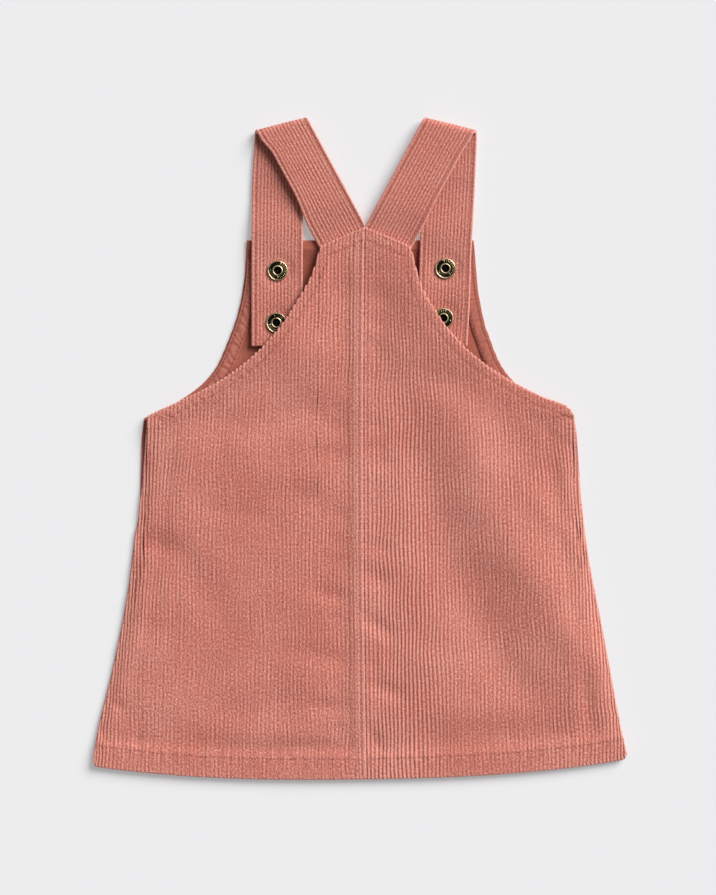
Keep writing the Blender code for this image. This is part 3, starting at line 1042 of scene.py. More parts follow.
def sheet_draft(
    upper: Array,
    lower: Array,
    ribs_map: Array,
    edge: Array,
    dark: Array,
    low_edge: Array,
    depth: Array | None = None,
) -> MeshDraft:
    """A closed cloth sheet between an upper grid and a lower one with the same or fewer columns.

    Args:
        upper: Upper points, rows by columns.
        lower: Lower points.
        ribs_map: Places in wales of the upper points.
        edge: Their shares of rubbed wear and painted sheen.
        dark: Their darknesses.
        low_edge: Shares of rubbed wear and painted sheen of the lower points.
        depth: How deep the ribs are at the upper points, or None where the sheet has none.

    Returns:
        The draft, upper points first.
    """
    step = (upper.shape[1] - 1) // (lower.shape[1] - 1)
    low_map = ribs_map[:, ::step]
    zeros = np.zeros(low_map.shape[:2])
    return MeshDraft(
        np.concatenate([upper.reshape(-1, 3), lower.reshape(-1, 3)]),
        closed_sheet(upper, lower, step),
        np.concatenate([ribs_map.reshape(-1, 2), low_map.reshape(-1, 2)]),
        np.concatenate([edge.ravel(), low_edge.ravel()]),
        np.concatenate([dark.ravel(), zeros.ravel()]),
        None if depth is None else np.concatenate([depth.ravel(), zeros.ravel()]),
    )


# Places across one wale where the cloth is sampled, close together in the valley.
RIB_SAMPLES = (0.0, 0.09, 0.22, 0.36, 0.5, 0.64, 0.78, 0.91)


def rib_height(wales: Array) -> Array:
    """Height of a rib from 0 in the valleys to 1 on its crown."""
    across = np.abs(2.0 * (wales - np.floor(wales)) - 1.0)
    return 1.0 - across**1.7


def rib_columns(first: float, last: float, samples: Sequence[float]) -> Array:
    """Places of columns across a panel, in wales, with every wale sampled alike.

    Args:
        first: Where the panel starts, in wales.
        last: Where it ends.
        samples: Places within one wale.

    Returns:
        The columns, as many as the samples for each wale, and one more.
    """
    whole = np.arange(math.ceil(first + 0.5), math.floor(last - 0.5) + 1, dtype=float)
    bounds = np.concatenate([[first], whole, [last]])
    shares = np.array(samples)
    columns = [low + (high - low) * shares for low, high in zip(bounds[:-1], bounds[1:])]
    return np.concatenate([*columns, [last]])


@dataclass
class BackCloth:
    """Where the cloth of both half-backs lies, and how its ribs run."""

    relief: float = 0.15
    edge_radius: float = 0.9
    seam_rows: tuple[float, float] = (3.0, 6.7)
    # For each row of stitches: armhole, top edge, close to the top edge, hem, and two beside the seam. The
    # darkness is painted shade in the row's groove.
    row_darkness: tuple[float, ...] = (0.22, 0.3, 0.3, 0.24, 0.55, 0.55)
    row_depths: tuple[float, ...] = (0.16, 0.26, 0.26, 0.16, 0.26, 0.26)
    pitches: tuple[tuple[float, float, float], ...] = (
        # height, left, right
        (0, 2.46, 2.44),
        (110, 2.38, 2.41),
        (224, 2.34, 2.38),
        (300, 2.33, 2.26),
        (341, 2.32, 2.18),
    )
    broad: SoftNoise = field(default_factory=lambda: SoftNoise(11, 85.0))
    patches: SoftNoise = field(default_factory=lambda: SoftNoise(12, 26.0))
    wander: SoftNoise = field(default_factory=lambda: SoftNoise(13, 30.0, 1.4))
    uneven: SoftNoise = field(default_factory=lambda: SoftNoise(14, 5.0, 4.0, 24))
    crumple: SoftNoise = field(default_factory=lambda: SoftNoise(15, 9.0, 1.3, 24))

    def __post_init__(self) -> None:
        """Works out the edges that heights are measured from."""
        self.armholes = {side: table_edge(BACK_ARMHOLES, side, 60) for side in Side}
        self.front_armholes = {side: table_edge(FRONT_ARMHOLES, side, 60) for side in Side}
        self.tip = np.array([float(seam_x(BACK_LENGTH)), BACK_LENGTH])
        self.outlines = {side: self.outline(side) for side in Side}

    def outline(self, side: Side) -> Array:
        """The edge of one half from the hem's corner, up the side and armhole, to the tip at the seam.

        Args:
            side: Which half.

        Returns:
            The edge's points.
        """
        sides = table_edge(SIDES, side, 90)
        corner = side.value * (abs(sides[0, 0]) + CORNER_OUT)
        start = [[corner, float(hem_height(corner)) + CORNER_RADIUS]]
        return np.concatenate([start, sides, self.armholes[side][1:], [self.tip]])

    def hem_line(self, side: Side) -> Array:
        """The hem of one half, from the seam out to the corner.

        Args:
            side: Which half.

        Returns:
            The hem's points.
        """
        far = abs(self.outlines[side][0, 0])
        x = side.value * np.linspace(0.0, far, 70)
        return np.column_stack([x, self.hem(x, far)])

    def hem(self, x: Array, far: float) -> Array:
        """Height of the hem with its rounded corner, which lies as far out as far."""
        turn = np.clip((np.abs(x) - far + CORNER_RADIUS) / CORNER_RADIUS, 0.0, 1.0)
        return hem_height(x) + CORNER_RADIUS * (1.0 - np.sqrt(1.0 - turn * turn))

    def pitch(self, side: Side, y: Array) -> Array:
        """Width of one wale at each height."""
        return curve(self.pitches, side.column, y)

    def wales_at(self, side: Side, x: Array, y: Array) -> Array:
        """How many wales out from the seam a place lies."""
        return side.value * (x - seam_x(y)) / self.pitch(side, y)

    def underside(self, x: Array, y: Array) -> Array:
        """Height of the cloth's underside, on the front and over what lies on the front.

        Args:
            x: Places across.
            y: Heights above the hem.

        Returns:
            The height at each place.
        """
        from_hem = y - hem_height(x)
        side_x = np.where(x < 0, curve(SIDES, 1, y), curve(SIDES, 2, y))
        from_side = np.where(y < SIDES[-1][0], side_x - np.abs(x), 40.0)
        open_field = 2.1 * ramp(from_side, 0.0, 26.0) * ramp(from_hem, 4.0, 44.0)
        allowance = 0.9 * ramp(from_side, 1.0, 7.0) * (1.0 - ramp(from_side, 8.0, 18.0))
        height = CLOTH + GAP + 0.05 + open_field + allowance * ramp(from_hem, 6.0, 30.0)
        inside = ramp(from_side, 4.0, 24.0) * ramp(from_hem, 14.0, 30.0)
        for row in FOLDS:
            height = height + inside * crease_at(x, y, row, 20.0)
        for row in CREASES:
            height = height + crease_at(x, y, row, 0.35 * math.hypot(row[2] - row[0], row[3] - row[1]) + 1.0)
        layers = [height, np.full(np.shape(x), CLOTH + GAP + 0.02)]
        layers.append((CLOTH + TURNED + GAP + 0.05) * (1.0 - ramp(from_hem, HEM_DEPTH, 24.0)))
        layers.append((STRAP_BASE + STRAP + 0.3) * plateau(x - 2.4, y - 333.0, 28.0, 11.0, 62.0))
        for side in Side:
            lifted = 1.0 - ramp(nearest(x, y, self.armholes[side])[0], 2.0, 44.0)
            share = 1.0 if side is Side.LEFT else 0.25
            layers.append(share * (3.9 + 1.9 * ramp(y, 226.0, 262.0)) * lifted)
            near_facing = 1.0 - ramp(nearest(x, y, self.front_armholes[side])[0], 12.0, 26.0)
            layers.append((STRAP_BASE + 0.15) * near_facing)
            on_strap = plateau(x - 51.4 * side.value, y - 284.0, 17.0, 19.0, 54.0)
            layers.append((STRAP_BASE + STRAP + GAP + 0.25) * on_strap)
        for _, row, snap_x, snap_y in SNAPS:
            if row == "lower":
                away = np.hypot(x - snap_x, y - snap_y)
                layers.append((SNAP_BASE + SNAP_HEIGHT + 0.55) * (1.0 - ramp(away, 9.0, 46.0)))
        power = 8.0
        return sum(np.maximum(layer, 0.0) ** power for layer in layers) ** (1.0 / power)

    def rows_of_stitches(self, side: Side) -> list[Array]:
        """Lines of topstitching on one half: armhole and top edge, hem, and beside the seam.

        Args:
            side: Which half.

        Returns:
            The lines, in the order of row_darkness.
        """
        armhole = offset_line(self.armholes[side], -side.value * 6.0)
        shoulder = np.array([self.armholes[side][-1], self.tip])
        top = offset_line(even_points(shoulder, 12), -side.value * 6.8)
        close = offset_line(even_points(shoulder, 12), -side.value * 1.5)
        far = abs(self.outlines[side][0, 0]) - 1.5
        across = side.value * np.linspace(4.0, far, 60)
        hem = np.column_stack([across, hem_height(across) + HEM_DEPTH])
        lines = [armhole[2:-3], top[:-1], close[1:], hem]
        if side is Side.LEFT:
            heights = np.linspace(2.0, BACK_LENGTH - 4.0, 90)
            lines += [np.column_stack([seam_x(heights) - inset, heights]) for inset in self.seam_rows]
        return lines

    def top(
        self, side: Side, x: Array, y: Array, wales: Array | None = None, own: Array | None = None
    ) -> tuple[Array, Array, Array, Array]:
        """The cloth's upper side.

        Args:
            side: Which half.
            x: Places across.
            y: Heights above the hem.
            wales: Places in wales, or None for ribs that run as the pitch says.
            own: Distances from the upper and lower ends of the ribs, or None to measure them.

        Returns:
            The height, the share of rubbed wear and painted sheen on edges, the painted shade of stitch
            grooves and seams, and the ribs' depth from 0 to 1, which also sets their painted shade.
        """
        wales = self.wales_at(side, x, y) if wales is None else wales
        outline = self.outlines[side]
        from_side = np.where(y < SIDES[-1][0] - 1.5, nearest(x, y, outline[:91])[0], 60.0)
        heights = np.linspace(0, BACK_LENGTH, 40)
        from_seam = nearest(x, y, np.column_stack([seam_x(heights), heights]))[0]
        from_hem = nearest(x, y, self.hem_line(side))[0]
        upper_edge = np.concatenate([self.armholes[side], [self.tip]])
        from_upper, along_upper = nearest(x, y, upper_edge)
        ends = np.minimum(from_upper, from_hem) if own is None else own
        turned = 1.0 - ramp(from_hem, HEM_DEPTH - 1.0, HEM_DEPTH + 9.0)
        turned = np.maximum(turned, 1.0 - ramp(from_upper, 6.5, 13.0 if side is Side.LEFT else 30.0))
        width = self.seam_rows[1] + 0.6 if side is Side.LEFT else 4.0
        allowance = (0.5 if side is Side.LEFT else 0.18) * (1.0 - ramp(from_seam, width, width + 2.5))
        height = self.underside(x, y) + CLOTH - 0.3 + TURNED * np.maximum(turned, allowance)
        height = height + 0.16 * self.patches.at(x, y) * ramp(from_hem, 4.0, 24.0)
        height = height + 0.05 * self.crumple.at(x, y) * ramp(from_seam, 0.0, 9.0)
        pull = 0.12 * np.sin(along_upper * 1.05 + 2.0 * self.patches.at(x, y))
        height = height + pull * bell(from_upper - 6.0, 3.4)
        pull = 0.16 * np.sin(x * 0.78 + 2.4 * self.patches.at(x, y))
        height = height + pull * bell(from_hem - HEM_DEPTH, 5.0)
        relief = self.relief_at(side, x, y, from_side, from_hem)
        ribs = rib_height(wales)
        height = height + relief * (ribs - 0.6)
        dark = np.zeros(np.shape(x))
        # Each row of stitches sinks a groove, with painted shade in it.
        rows = zip(self.rows_of_stitches(side), self.row_darkness, self.row_depths)
        for line, darkness, sunk in rows:
            groove = bell(nearest(x, y, line)[0], 0.65)
            height = height - sunk * groove
            dark = np.maximum(dark, darkness * groove**1.5)
        for away, drop in ((ends, 0.9), (from_side, 0.9), (from_seam, 0.2)):
            height = height - drop * rounded_off(away, self.edge_radius)
        # Edges lighter, more on the rib crowns: rubbed wear and a painted sheen on the rims and walls.
        edge = 0.95 * bell(np.minimum(from_upper, ends), 1.0) * (0.3 + 0.7 * ribs)
        edge = np.maximum(edge, 0.9 * bell(from_hem, 0.9) * (0.5 + 0.5 * ribs))
        edge = np.maximum(edge, 0.9 * np.exp(-from_side / 1.2))
        # Beside the seam: the pressed strip lighter, a painted highlight on the folded edge and painted shade
        # along the seam line.
        if side is Side.LEFT:
            strip = 1.0 - ramp(from_seam, self.seam_rows[1] + 0.3, self.seam_rows[1] + 1.6)
            edge = np.maximum(edge, 0.3 * strip + 0.4 * bell(from_seam - 0.8, 0.7))
            dark = np.maximum(dark, 0.1 * bell(from_seam, 0.35))
        else:
            dark = np.maximum(dark, 0.12 * bell(from_seam - 0.5, 0.6))
        return height, edge, dark, relief / 0.42

    def relief_at(self, side: Side, x: Array, y: Array, from_side: Array, from_hem: Array) -> Array:
        """How deep the ribs are: deep at the side seams and right of the centre seam, shallow elsewhere.

        Args:
            side: Which half.
            x: Places across.
            y: Heights above the hem.
            from_side: Distances from the side seam.
            from_hem: Distances from the hem.

        Returns:
            The depth at each place.
        """
        depth = self.relief * (1.0 + 0.25 * self.broad.at(x, y) + 0.55 * self.uneven.at(x, y))
        depth = depth + 0.24 * bell(from_side, 9.0)
        if side is Side.RIGHT:
            depth = depth + 0.26 * bell(x - 24.0, 24.0) * ramp(y, 262.0, 200.0)
            depth = depth + 0.08 * bell(x - 118.0, 24.0) * bell(y - 150.0, 60.0)
        else:
            depth = depth - 0.06 * bell(x + 100.0, 60.0) * bell(y - 60.0, 90.0)
        depth = depth + 0.04 * ramp(y, 235.0, 285.0)
        depth = depth - 0.02 * (1.0 - ramp(from_hem, 0.0, HEM_DEPTH))
        return np.clip(depth, 0.05, 0.5)


def offset_line(line: Array, distance: float) -> Array:
    """A line moved sideways, to its right where distance is above 0.

    Args:
        line: The line's points.
        distance: How far it moves.

    Returns:
        The moved points.
    """
    along = np.gradient(line, axis=0)
    along /= np.linalg.norm(along, axis=1)[:, None]
    return line + distance * np.column_stack([along[:, 1], -along[:, 0]])


def row_places(bottom: Array, top: Array, stretch: Array, middle: int) -> Array:
    """Heights of the rows in each column: close at the hem, its stitches, the top edge and its stitches.

    Args:
        bottom: Where each column starts.
        top: Where each column ends.
        stretch: How many times further apart the upper rows lie, because the edge slants.
        middle: How many rows lie between.

    Returns:
        Heights, rows by columns.
    """
    near_hem = np.array([0.0, 0.2, 0.55, 1.1, 2.4, 4.5, 7.0, 9.6, 11.4, 12.2, 12.8, 13.4, 14.3, 16.5])
    near_top = np.array([0.0, 0.2, 0.55, 1.1, 2.2, 3.6, 4.7, 5.4, 6.0, 6.6, 7.4, 9.0])
    length = top - bottom
    low_scale = np.minimum(1.0, 0.42 * length / near_hem[-1])
    high_scale = np.minimum(stretch, 0.42 * length / near_top[-1])
    low = bottom + near_hem[:, None] * low_scale
    high = top - near_top[::-1, None] * high_scale
    shares = np.linspace(0.0, 1.0, middle + 2)[1:-1, None]
    between = low[-1] + (high[0] - low[-1]) * shares
    return np.concatenate([low, between, high])


@dataclass
class Stitching:
    """A row of topstitches, each a short bead of thread that dips into the cloth at both ends."""

    pitch: float = 2.9
    length: float = 1.9
    radius: float = 0.3
    rise: float = 0.06
    sides: int = 6

    def beads(self, line: Array, height: Callable[[Array, Array], Array]) -> tuple[Array, list[list[int]]]:
        """Meshes of all the stitches along a line.

        Args:
            line: The line in plan.
            height: Gives the cloth's height at places in plan.

        Returns:
            The points and the faces.
        """
        count = max(2, int(line_length(line) / self.pitch))
        even = even_points(line, 2 * count + 1)
        centres = even[1::2]
        along = even[2::2] - even[:-2:2]
        along /= np.linalg.norm(along, axis=1)[:, None]
        levels = height(centres[:, 0], centres[:, 1])
        shares = np.array([-1.0, -0.86, -0.45, 0.0, 0.45, 0.86, 1.0])
        girths = np.sqrt(1.0 - shares * shares * 0.98)
        turns = np.arange(self.sides) * 2.0 * math.pi / self.sides
        points, faces = [], []
        for (x, y), (ux, uy), level in zip(centres, along, levels):
            first = len(points)
            for share, girth in zip(shares, girths):
                reach = share * self.length / 2
                lift = level + self.rise - 0.32 * share * share
                for turn in turns:
                    out = self.radius * girth * math.cos(turn)
                    up = self.radius * girth * math.sin(turn)
                    points.append((x + ux * reach - uy * out, y + uy * reach + ux * out, lift + up))
            for ring in range(len(shares) - 1):
                for i in range(self.sides):
                    a = first + ring * self.sides + i
                    b = first + ring * self.sides + (i + 1) % self.sides
                    faces.append([a, a + self.sides, b + self.sides, b])
            last = first + (len(shares) - 1) * self.sides
            faces.append([first + i for i in range(self.sides)])
            faces.append([last + i for i in reversed(range(self.sides))])
        return np.array(points), faces

    def make(
        self,
        name: str,
        lines: Sequence[Array],
        height: Callable[[Array, Array], Array],
        plan: Plan,
        finishes: Wardrobe,
    ) -> bpy.types.Object:
        """Makes one object of all the stitches along several lines.

        Args:
            name: The piece's name.
            lines: The lines in plan.
            height: Gives the cloth's height at places in plan.
            plan: Where the garment's plan lies on the frame.
            finishes: The finishes.

        Returns:
            The object.
        """
        points, faces = [], []
        for line in lines:
            some, theirs = self.beads(line, height)
            start = sum(len(p) for p in points)
            points.append(some)
            faces += [[i + start for i in face] for face in theirs]
        joined = np.concatenate(points)
        zeros = np.zeros(len(joined))
        draft = MeshDraft(joined, faces, joined[:, :2], zeros, zeros)
        return draft.make(name, plan, finishes.thread, "thread")


@dataclass
class HalfBack:
    """One half of the back, with real ribs, rounded edges and its topstitching."""

    side: Side
    cloth: BackCloth
    plan: Plan
    finishes: Wardrobe
    middle_rows: int = 88
    scallop: float = 0.95
    squeeze: float = 0.34

    def columns(self) -> tuple[Array, Array, Array, Array]:
        """Columns of the panel, one for each sample of each wale.

        Returns:
            Each column's place in wales, its foot, its top and how slanted its top is.
        """
        side, cloth = self.side, self.cloth
        outline = cloth.outlines[side]
        dense = even_points(outline, 1400)
        out = cloth.wales_at(side, dense[:, 0], dense[:, 1])[::-1]
        out = np.maximum.accumulate(out)
        wales = rib_columns(0.01, float(out[-1]) - 0.05, RIB_SAMPLES)
        top = np.interp(wales, out, dense[::-1, 1])
        far = abs(outline[0, 0])
        foot_x = seam_x(0.0) + side.value * wales * cloth.pitch(side, 0.0)
        bottom = cloth.hem(foot_x, far)
        slope = np.gradient(top, wales * WALE)
        stretch = np.clip(np.sqrt(1.0 + slope * slope), 1.0, 7.0)
        rng = np.random.default_rng(21 + side.value)
        sizes = rng.uniform(0.55, 1.35, int(wales[-1]) + 2)[np.floor(wales).astype(int)]
        bumps = (rib_height(wales) - 0.6) * sizes * self.scallop
        upper = np.where(top > SIDES[-1][0], 1.0, 0.25) * (0.55 + 0.45 * ramp(top, 232.0, 262.0))
        top = top + bumps * upper * np.minimum(stretch, 3.2) * np.minimum(1.0, (top - bottom) / 12.0)
        bottom = bottom - 0.4 * bumps * np.minimum(1.0, (top - bottom) / 12.0)
        return wales, bottom, top, stretch

    def moved(self, x: Array, y: Array, wales: Array) -> Array:
        """How far out the ribs move: squeezed together and wavy at the side seam, wandering elsewhere.

        Args:
            x: Places across.
            y: Heights above the hem.
            wales: Each column's place in wales.

        Returns:
            The distance at each place.
        """
        cloth = self.cloth
        from_side = nearest(x, y, cloth.outlines[self.side][:91])[0]
        from_upper = nearest(x, y, cloth.armholes[self.side])[0]
        free = ramp(wales, 0.0, 5.0) * ramp(from_side, 0.0, 4.0) * ramp(from_upper, 2.0, 30.0)
        wave = 0.36 * np.sin(y * 0.38 + 1.6 * cloth.patches.at(x, y)) * np.exp(-from_side / 8.0)
        near = self.squeeze * 9.0 * (np.exp(-from_side / 60.0) - np.exp(-from_side / 9.0))
        return (0.55 * cloth.wander.at(x, y) + wave + near * ramp(from_upper, 6.0, 50.0)) * free

    def build(self) -> bpy.types.Object:
        """Makes the panel and its stitches, in place of the plain solid.

        Returns:
            The panel.
        """
        side, cloth = self.side, self.cloth
        wales, bottom, top, stretch = self.columns()
        y = row_places(bottom, top, stretch, self.middle_rows)
        x = seam_x(y) + side.value * wales * cloth.pitch(side, y)
        x = x + side.value * self.moved(x, y, wales)
        own = np.minimum((top - y) / stretch, y - bottom)
        height, edge, dark, depth = cloth.top(side, x, y, np.broadcast_to(wales, y.shape), own)
        step = len(RIB_SAMPLES)
        under = cloth.underside(x[:, ::step], y[:, ::step])
        upper_points = np.dstack([x, y, height])
        lower_points = np.dstack([x[:, ::step], y[:, ::step], under])
        ribs_map = np.dstack([np.broadcast_to(wales, y.shape), y / WALE])
        if side is Side.LEFT:
            upper_points, lower_points = upper_points[:, ::-1], lower_points[:, ::-1]
            ribs_map, edge, dark, depth = (grid[:, ::-1] for grid in (ribs_map, edge, dark, depth))
        # The lower rim takes the upper rim's lightening, so the walls of the edges carry the painted sheen
        # too.
        draft = sheet_draft(upper_points, lower_points, ribs_map, edge, dark, edge[:, ::step], depth)
        panel = draft.make(f"cloth_back_{side.word}", self.plan, self.finishes.corduroy, "corduroy")
        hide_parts(f"back_{side.word}")
        stitches = Stitching().make(
            f"stitches_back_{side.word}",
            cloth.rows_of_stitches(side),
            lambda sx, sy: cloth.top(side, sx, sy)[0],
            self.plan,
            self.finishes,
        )
        return panel


@dataclass
class Front:
    """The front and bib in one, face down, with its turned hem, bib hem and stitches."""

    plan: Plan
    finishes: Wardrobe
    pitch: float = WALE
    samples: tuple[float, ...] = (0.0, 0.16, 0.5, 0.84)
    middle_rows: int = 60
    bib_stitches: float = 6.8
    patches: SoftNoise = field(default_factory=lambda: SoftNoise(31, 22.0))
    ripples: SoftNoise = field(default_factory=lambda: SoftNoise(32, 9.0, 3.0))

    def outline(self, side: Side) -> Array:
        """The edge of one side from the hem's corner to the bib's corner.

        Args:
            side: Which side.

        Returns:
            The edge's points.
        """
        rows = []
        for height, left, right in SIDES[:-1]:
            roll = ROLL_OUT * (1.0 - float(smooth(abs(height - ROLL_HEIGHT) / ROLL_REACH)))
            rows.append((height, left + roll - 0.3, right - 0.5))
        rows.append(FRONT_ARMHOLES[0])
        sides = table_edge(rows, side, 70)
        corner = side.value * (abs(sides[0, 0]) + CORNER_OUT)
        start = [[corner, float(hem_height(corner)) + FRONT_SHORTER + CORNER_RADIUS]]
        return np.concatenate([start, sides, table_edge(FRONT_ARMHOLES, side, 90)[1:]])

    def surface(self, x: Array, y: Array) -> tuple[Array, Array, Array]:
        """The upper side, which is the inside of the dress.

        Args:
            x: Places across.
            y: Heights above the hem.

        Returns:
            The height, the share of rubbed wear and painted sheen at the bib's top edge, and the painted
            shade in the fold line and the stitch groove.
        """
        from_hem = y - hem_height(x) - FRONT_SHORTER
        from_top = BIB_TOP - y
        turned = 1.0 - ramp(from_hem, HEM_DEPTH, HEM_DEPTH + 3.0)
        turned = np.maximum(turned, 1.0 - ramp(from_top, 8.6, 9.6))
        height = CLOTH - 0.12 + TURNED * turned
        height = height + 0.1 * self.patches.at(x, y) * ramp(from_top, 0.0, 20.0)
        height = height + 0.07 * self.ripples.at(x, y)
        groove = bell(from_top - self.bib_stitches, 0.8)
        height = height - 0.3 * groove
        height = height - 0.8 * rounded_off(np.minimum(from_top, from_hem), 1.0)
        # Painted shade in the stitch groove and along the inner edge of the bib's turned hem; the bib's top
        # edge lighter for rubbed wear and a painted sheen.
        dark = np.maximum(0.8 * groove, bell(from_top - 9.6, 0.6))
        return height, 0.6 * np.exp(-from_top / 0.5), dark

    def build(self) -> bpy.types.Object:
        """Makes the panel and its stitches, in place of the plain solid.

        Returns:
            The panel.
        """
        outlines = {side: self.outline(side) for side in Side}
        limits = {side: abs(outlines[side][0, 0]) / self.pitch for side in Side}
        wales = rib_columns(0.02 - limits[Side.LEFT], limits[Side.RIGHT] - 0.02, self.samples)
        x = wales * self.pitch
        top = np.full(len(x), BIB_TOP)
        far = np.full(len(x), 0.0)
        for side in Side:
            here = np.sign(x) == side.value
            line = outlines[side][::-1]
            out = np.maximum.accumulate(np.abs(line[:, 0]))
            reach = np.abs(x[here])
            top[here] = np.where(reach < out[0], BIB_TOP, np.interp(reach, out, line[:, 1]))
            far[here] = abs(outlines[side][0, 0])
        turn = np.clip((np.abs(x) - far + CORNER_RADIUS) / CORNER_RADIUS, 0.0, 1.0)
        bottom = hem_height(x) + FRONT_SHORTER + CORNER_RADIUS * (1.0 - np.sqrt(1.0 - turn * turn))
        slope = np.gradient(top, x)
        stretch = np.clip(np.sqrt(1.0 + slope * slope), 1.0, 6.0)
        long_enough = np.minimum(1.0, (top - bottom) / 12.0)
        bumps = (rib_height(wales) - 0.6) * 0.32 * np.minimum(stretch, 3.0) * long_enough
        top = top + np.where(top < BIB_TOP - 0.5, bumps, 0.25 * bumps)
        y = row_places(bottom, top, stretch, self.middle_rows)
        grid_x = np.broadcast_to(x, y.shape)
        height, edge, dark = self.surface(grid_x, y)
        rim = np.minimum(*[nearest(grid_x, y, outlines[side])[0] for side in Side])
        height = height - 0.5 * rounded_off(rim, 0.8)
        step = len(self.samples)
        upper = np.dstack([grid_x, y, height])
        lower = np.dstack([grid_x[:, ::step], y[:, ::step], np.zeros(y[:, ::step].shape)])
        ribs_map = np.dstack([np.broadcast_to(wales, y.shape), y / self.pitch])
        # The rims lighter, for rubbed wear and a painted sheen, on the walls too.
        edge = np.maximum(edge, 0.7 * np.exp(-rim / 0.7))
        draft = sheet_draft(upper, lower, ribs_map, edge, dark, edge[:, ::step])
        panel = draft.make("cloth_front", self.plan, self.finishes.inside, "corduroy")
        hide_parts("front")
        left, right = (side.value * (curve(FRONT_ARMHOLES, side.column, 325.0) - 1.5) for side in Side)
        across = np.linspace(float(left), float(right), 30)
        bib = np.column_stack([across, np.full(30, BIB_TOP - self.bib_stitches)])
        stitches = Stitching().make(
            "stitches_bib", [bib], lambda sx, sy: self.surface(sx, sy)[0], self.plan, self.finishes
        )
        return panel


@dataclass
class Facing:
    """The bias tape round the inside of one of the front's armholes, puckered along its stitches."""

    side: Side
    plan: Plan
    finishes: Wardrobe
    insets: tuple[float, ...] = (
        *(1.1, 1.25, 1.5, 1.9, 2.2, 2.5, 3.1, 4.0),
        *(5.0, 6.0, 7.0, 7.6, 8.0, 8.4, 8.6, 8.8),
    )
    outer_row: float = 2.2
    inner_row: float = 7.8
    stations: int = 190
    ripples: SoftNoise = field(default_factory=lambda: SoftNoise(41, 8.0))

    def edge_line(self) -> Array:
        """The front's armhole from the side seam to the bib's hem.

        Returns:
            The armhole's points.
        """
        top = BIB_TOP - 11.5
        crossing = float(curve(FRONT_ARMHOLES, self.side.column, top))
        table = [row for row in FRONT_ARMHOLES if row[0] < BIB_TOP - 12.0]
        return table_edge([*table, (top, crossing, crossing)], self.side, self.stations)

    def surface(self, along: Array, inset: Array) -> Array:
        """Height of the tape's upper side.

        Args:
            along: Distances along the edge.
            inset: Distances in from the edge.

        Returns:
            The height at each place.
        """
        share = np.clip((inset - 1.1) / 7.7, 0.0, 1.0)
        height = FACING_BASE + TAPE * (0.62 + 0.3 * np.sin(math.pi * np.clip(share, 0.03, 0.97)) ** 0.5)
        wave = np.sin(along * 1.35 + inset * 0.75 + 2.2 * self.ripples.at(along, inset))
        height = height + 0.32 * wave * bell(inset - 5.2, 3.0)
        height = height - 0.6 * bell(inset - 8.9, 0.6)
        for row in (self.outer_row, self.inner_row):
            height = height - 0.25 * bell(inset - row, 0.5)
        return height

    def build(self) -> bpy.types.Object:
        """Makes the tape and its stitches, in place of the plain solid.

        Returns:
            The tape.
        """
        line = self.edge_line()
        spacing = line_length(line) / (len(line) - 1)
        along = np.arange(len(line))[:, None] * spacing
        inset = np.array(self.insets)[None, :]
        inward = -self.side.value * (offset_line(line, 1.0) - line)
        grid = line[:, None, :] + inset[..., None] * inward[:, None, :]
        height = self.surface(along, inset)
        floor = np.full(height.shape, CLOTH + 0.1)
        height = np.maximum(height, FACING_BASE + 0.1)
        upper = np.dstack([grid, height])
        lower = np.dstack([grid, floor])
        # Painted shade in both rows' grooves, and the folded edge lighter for rubbed wear and a painted
        # sheen.
        groove = sum(bell(inset - row, 0.5) for row in (self.outer_row, self.inner_row))
        dark = np.broadcast_to(0.75 * groove, height.shape)
        edge = np.broadcast_to(0.7 * np.exp(-(inset - 1.1) / 0.5), height.shape)
        ribs_map = np.dstack([np.broadcast_to(inset, height.shape), np.broadcast_to(along, height.shape)])
        if self.side is Side.RIGHT:
            upper, lower, dark = upper[:, ::-1], lower[:, ::-1], dark[:, ::-1]
            edge, ribs_map = edge[:, ::-1], ribs_map[:, ::-1]
        draft = sheet_draft(upper, lower, ribs_map, edge, dark, np.zeros(dark.shape))
        tape = draft.make(f"tape_{self.side.word}", self.plan, self.finishes.tape, "facing")
        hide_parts(f"facing_{self.side.word}")
        rows = []
        for place in (self.outer_row, self.inner_row):
            share = np.interp(place, self.insets, np.arange(len(self.insets)))
            low, high = int(share), min(int(share) + 1, len(self.insets) - 1)
            rows.append(grid[2:-2, low] + (grid[2:-2, high] - grid[2:-2, low]) * (share - low))

        def level(sx: Array, sy: Array) -> Array:
            """The tape's height at places in plan."""
            away, place = nearest(sx, sy, line)
            return self.surface(place, away)

        stitches = Stitching(pitch=2.6, length=1.6).make(
            f"stitches_tape_{self.side.word}", rows, level, self.plan, self.finishes
        )
        return tape


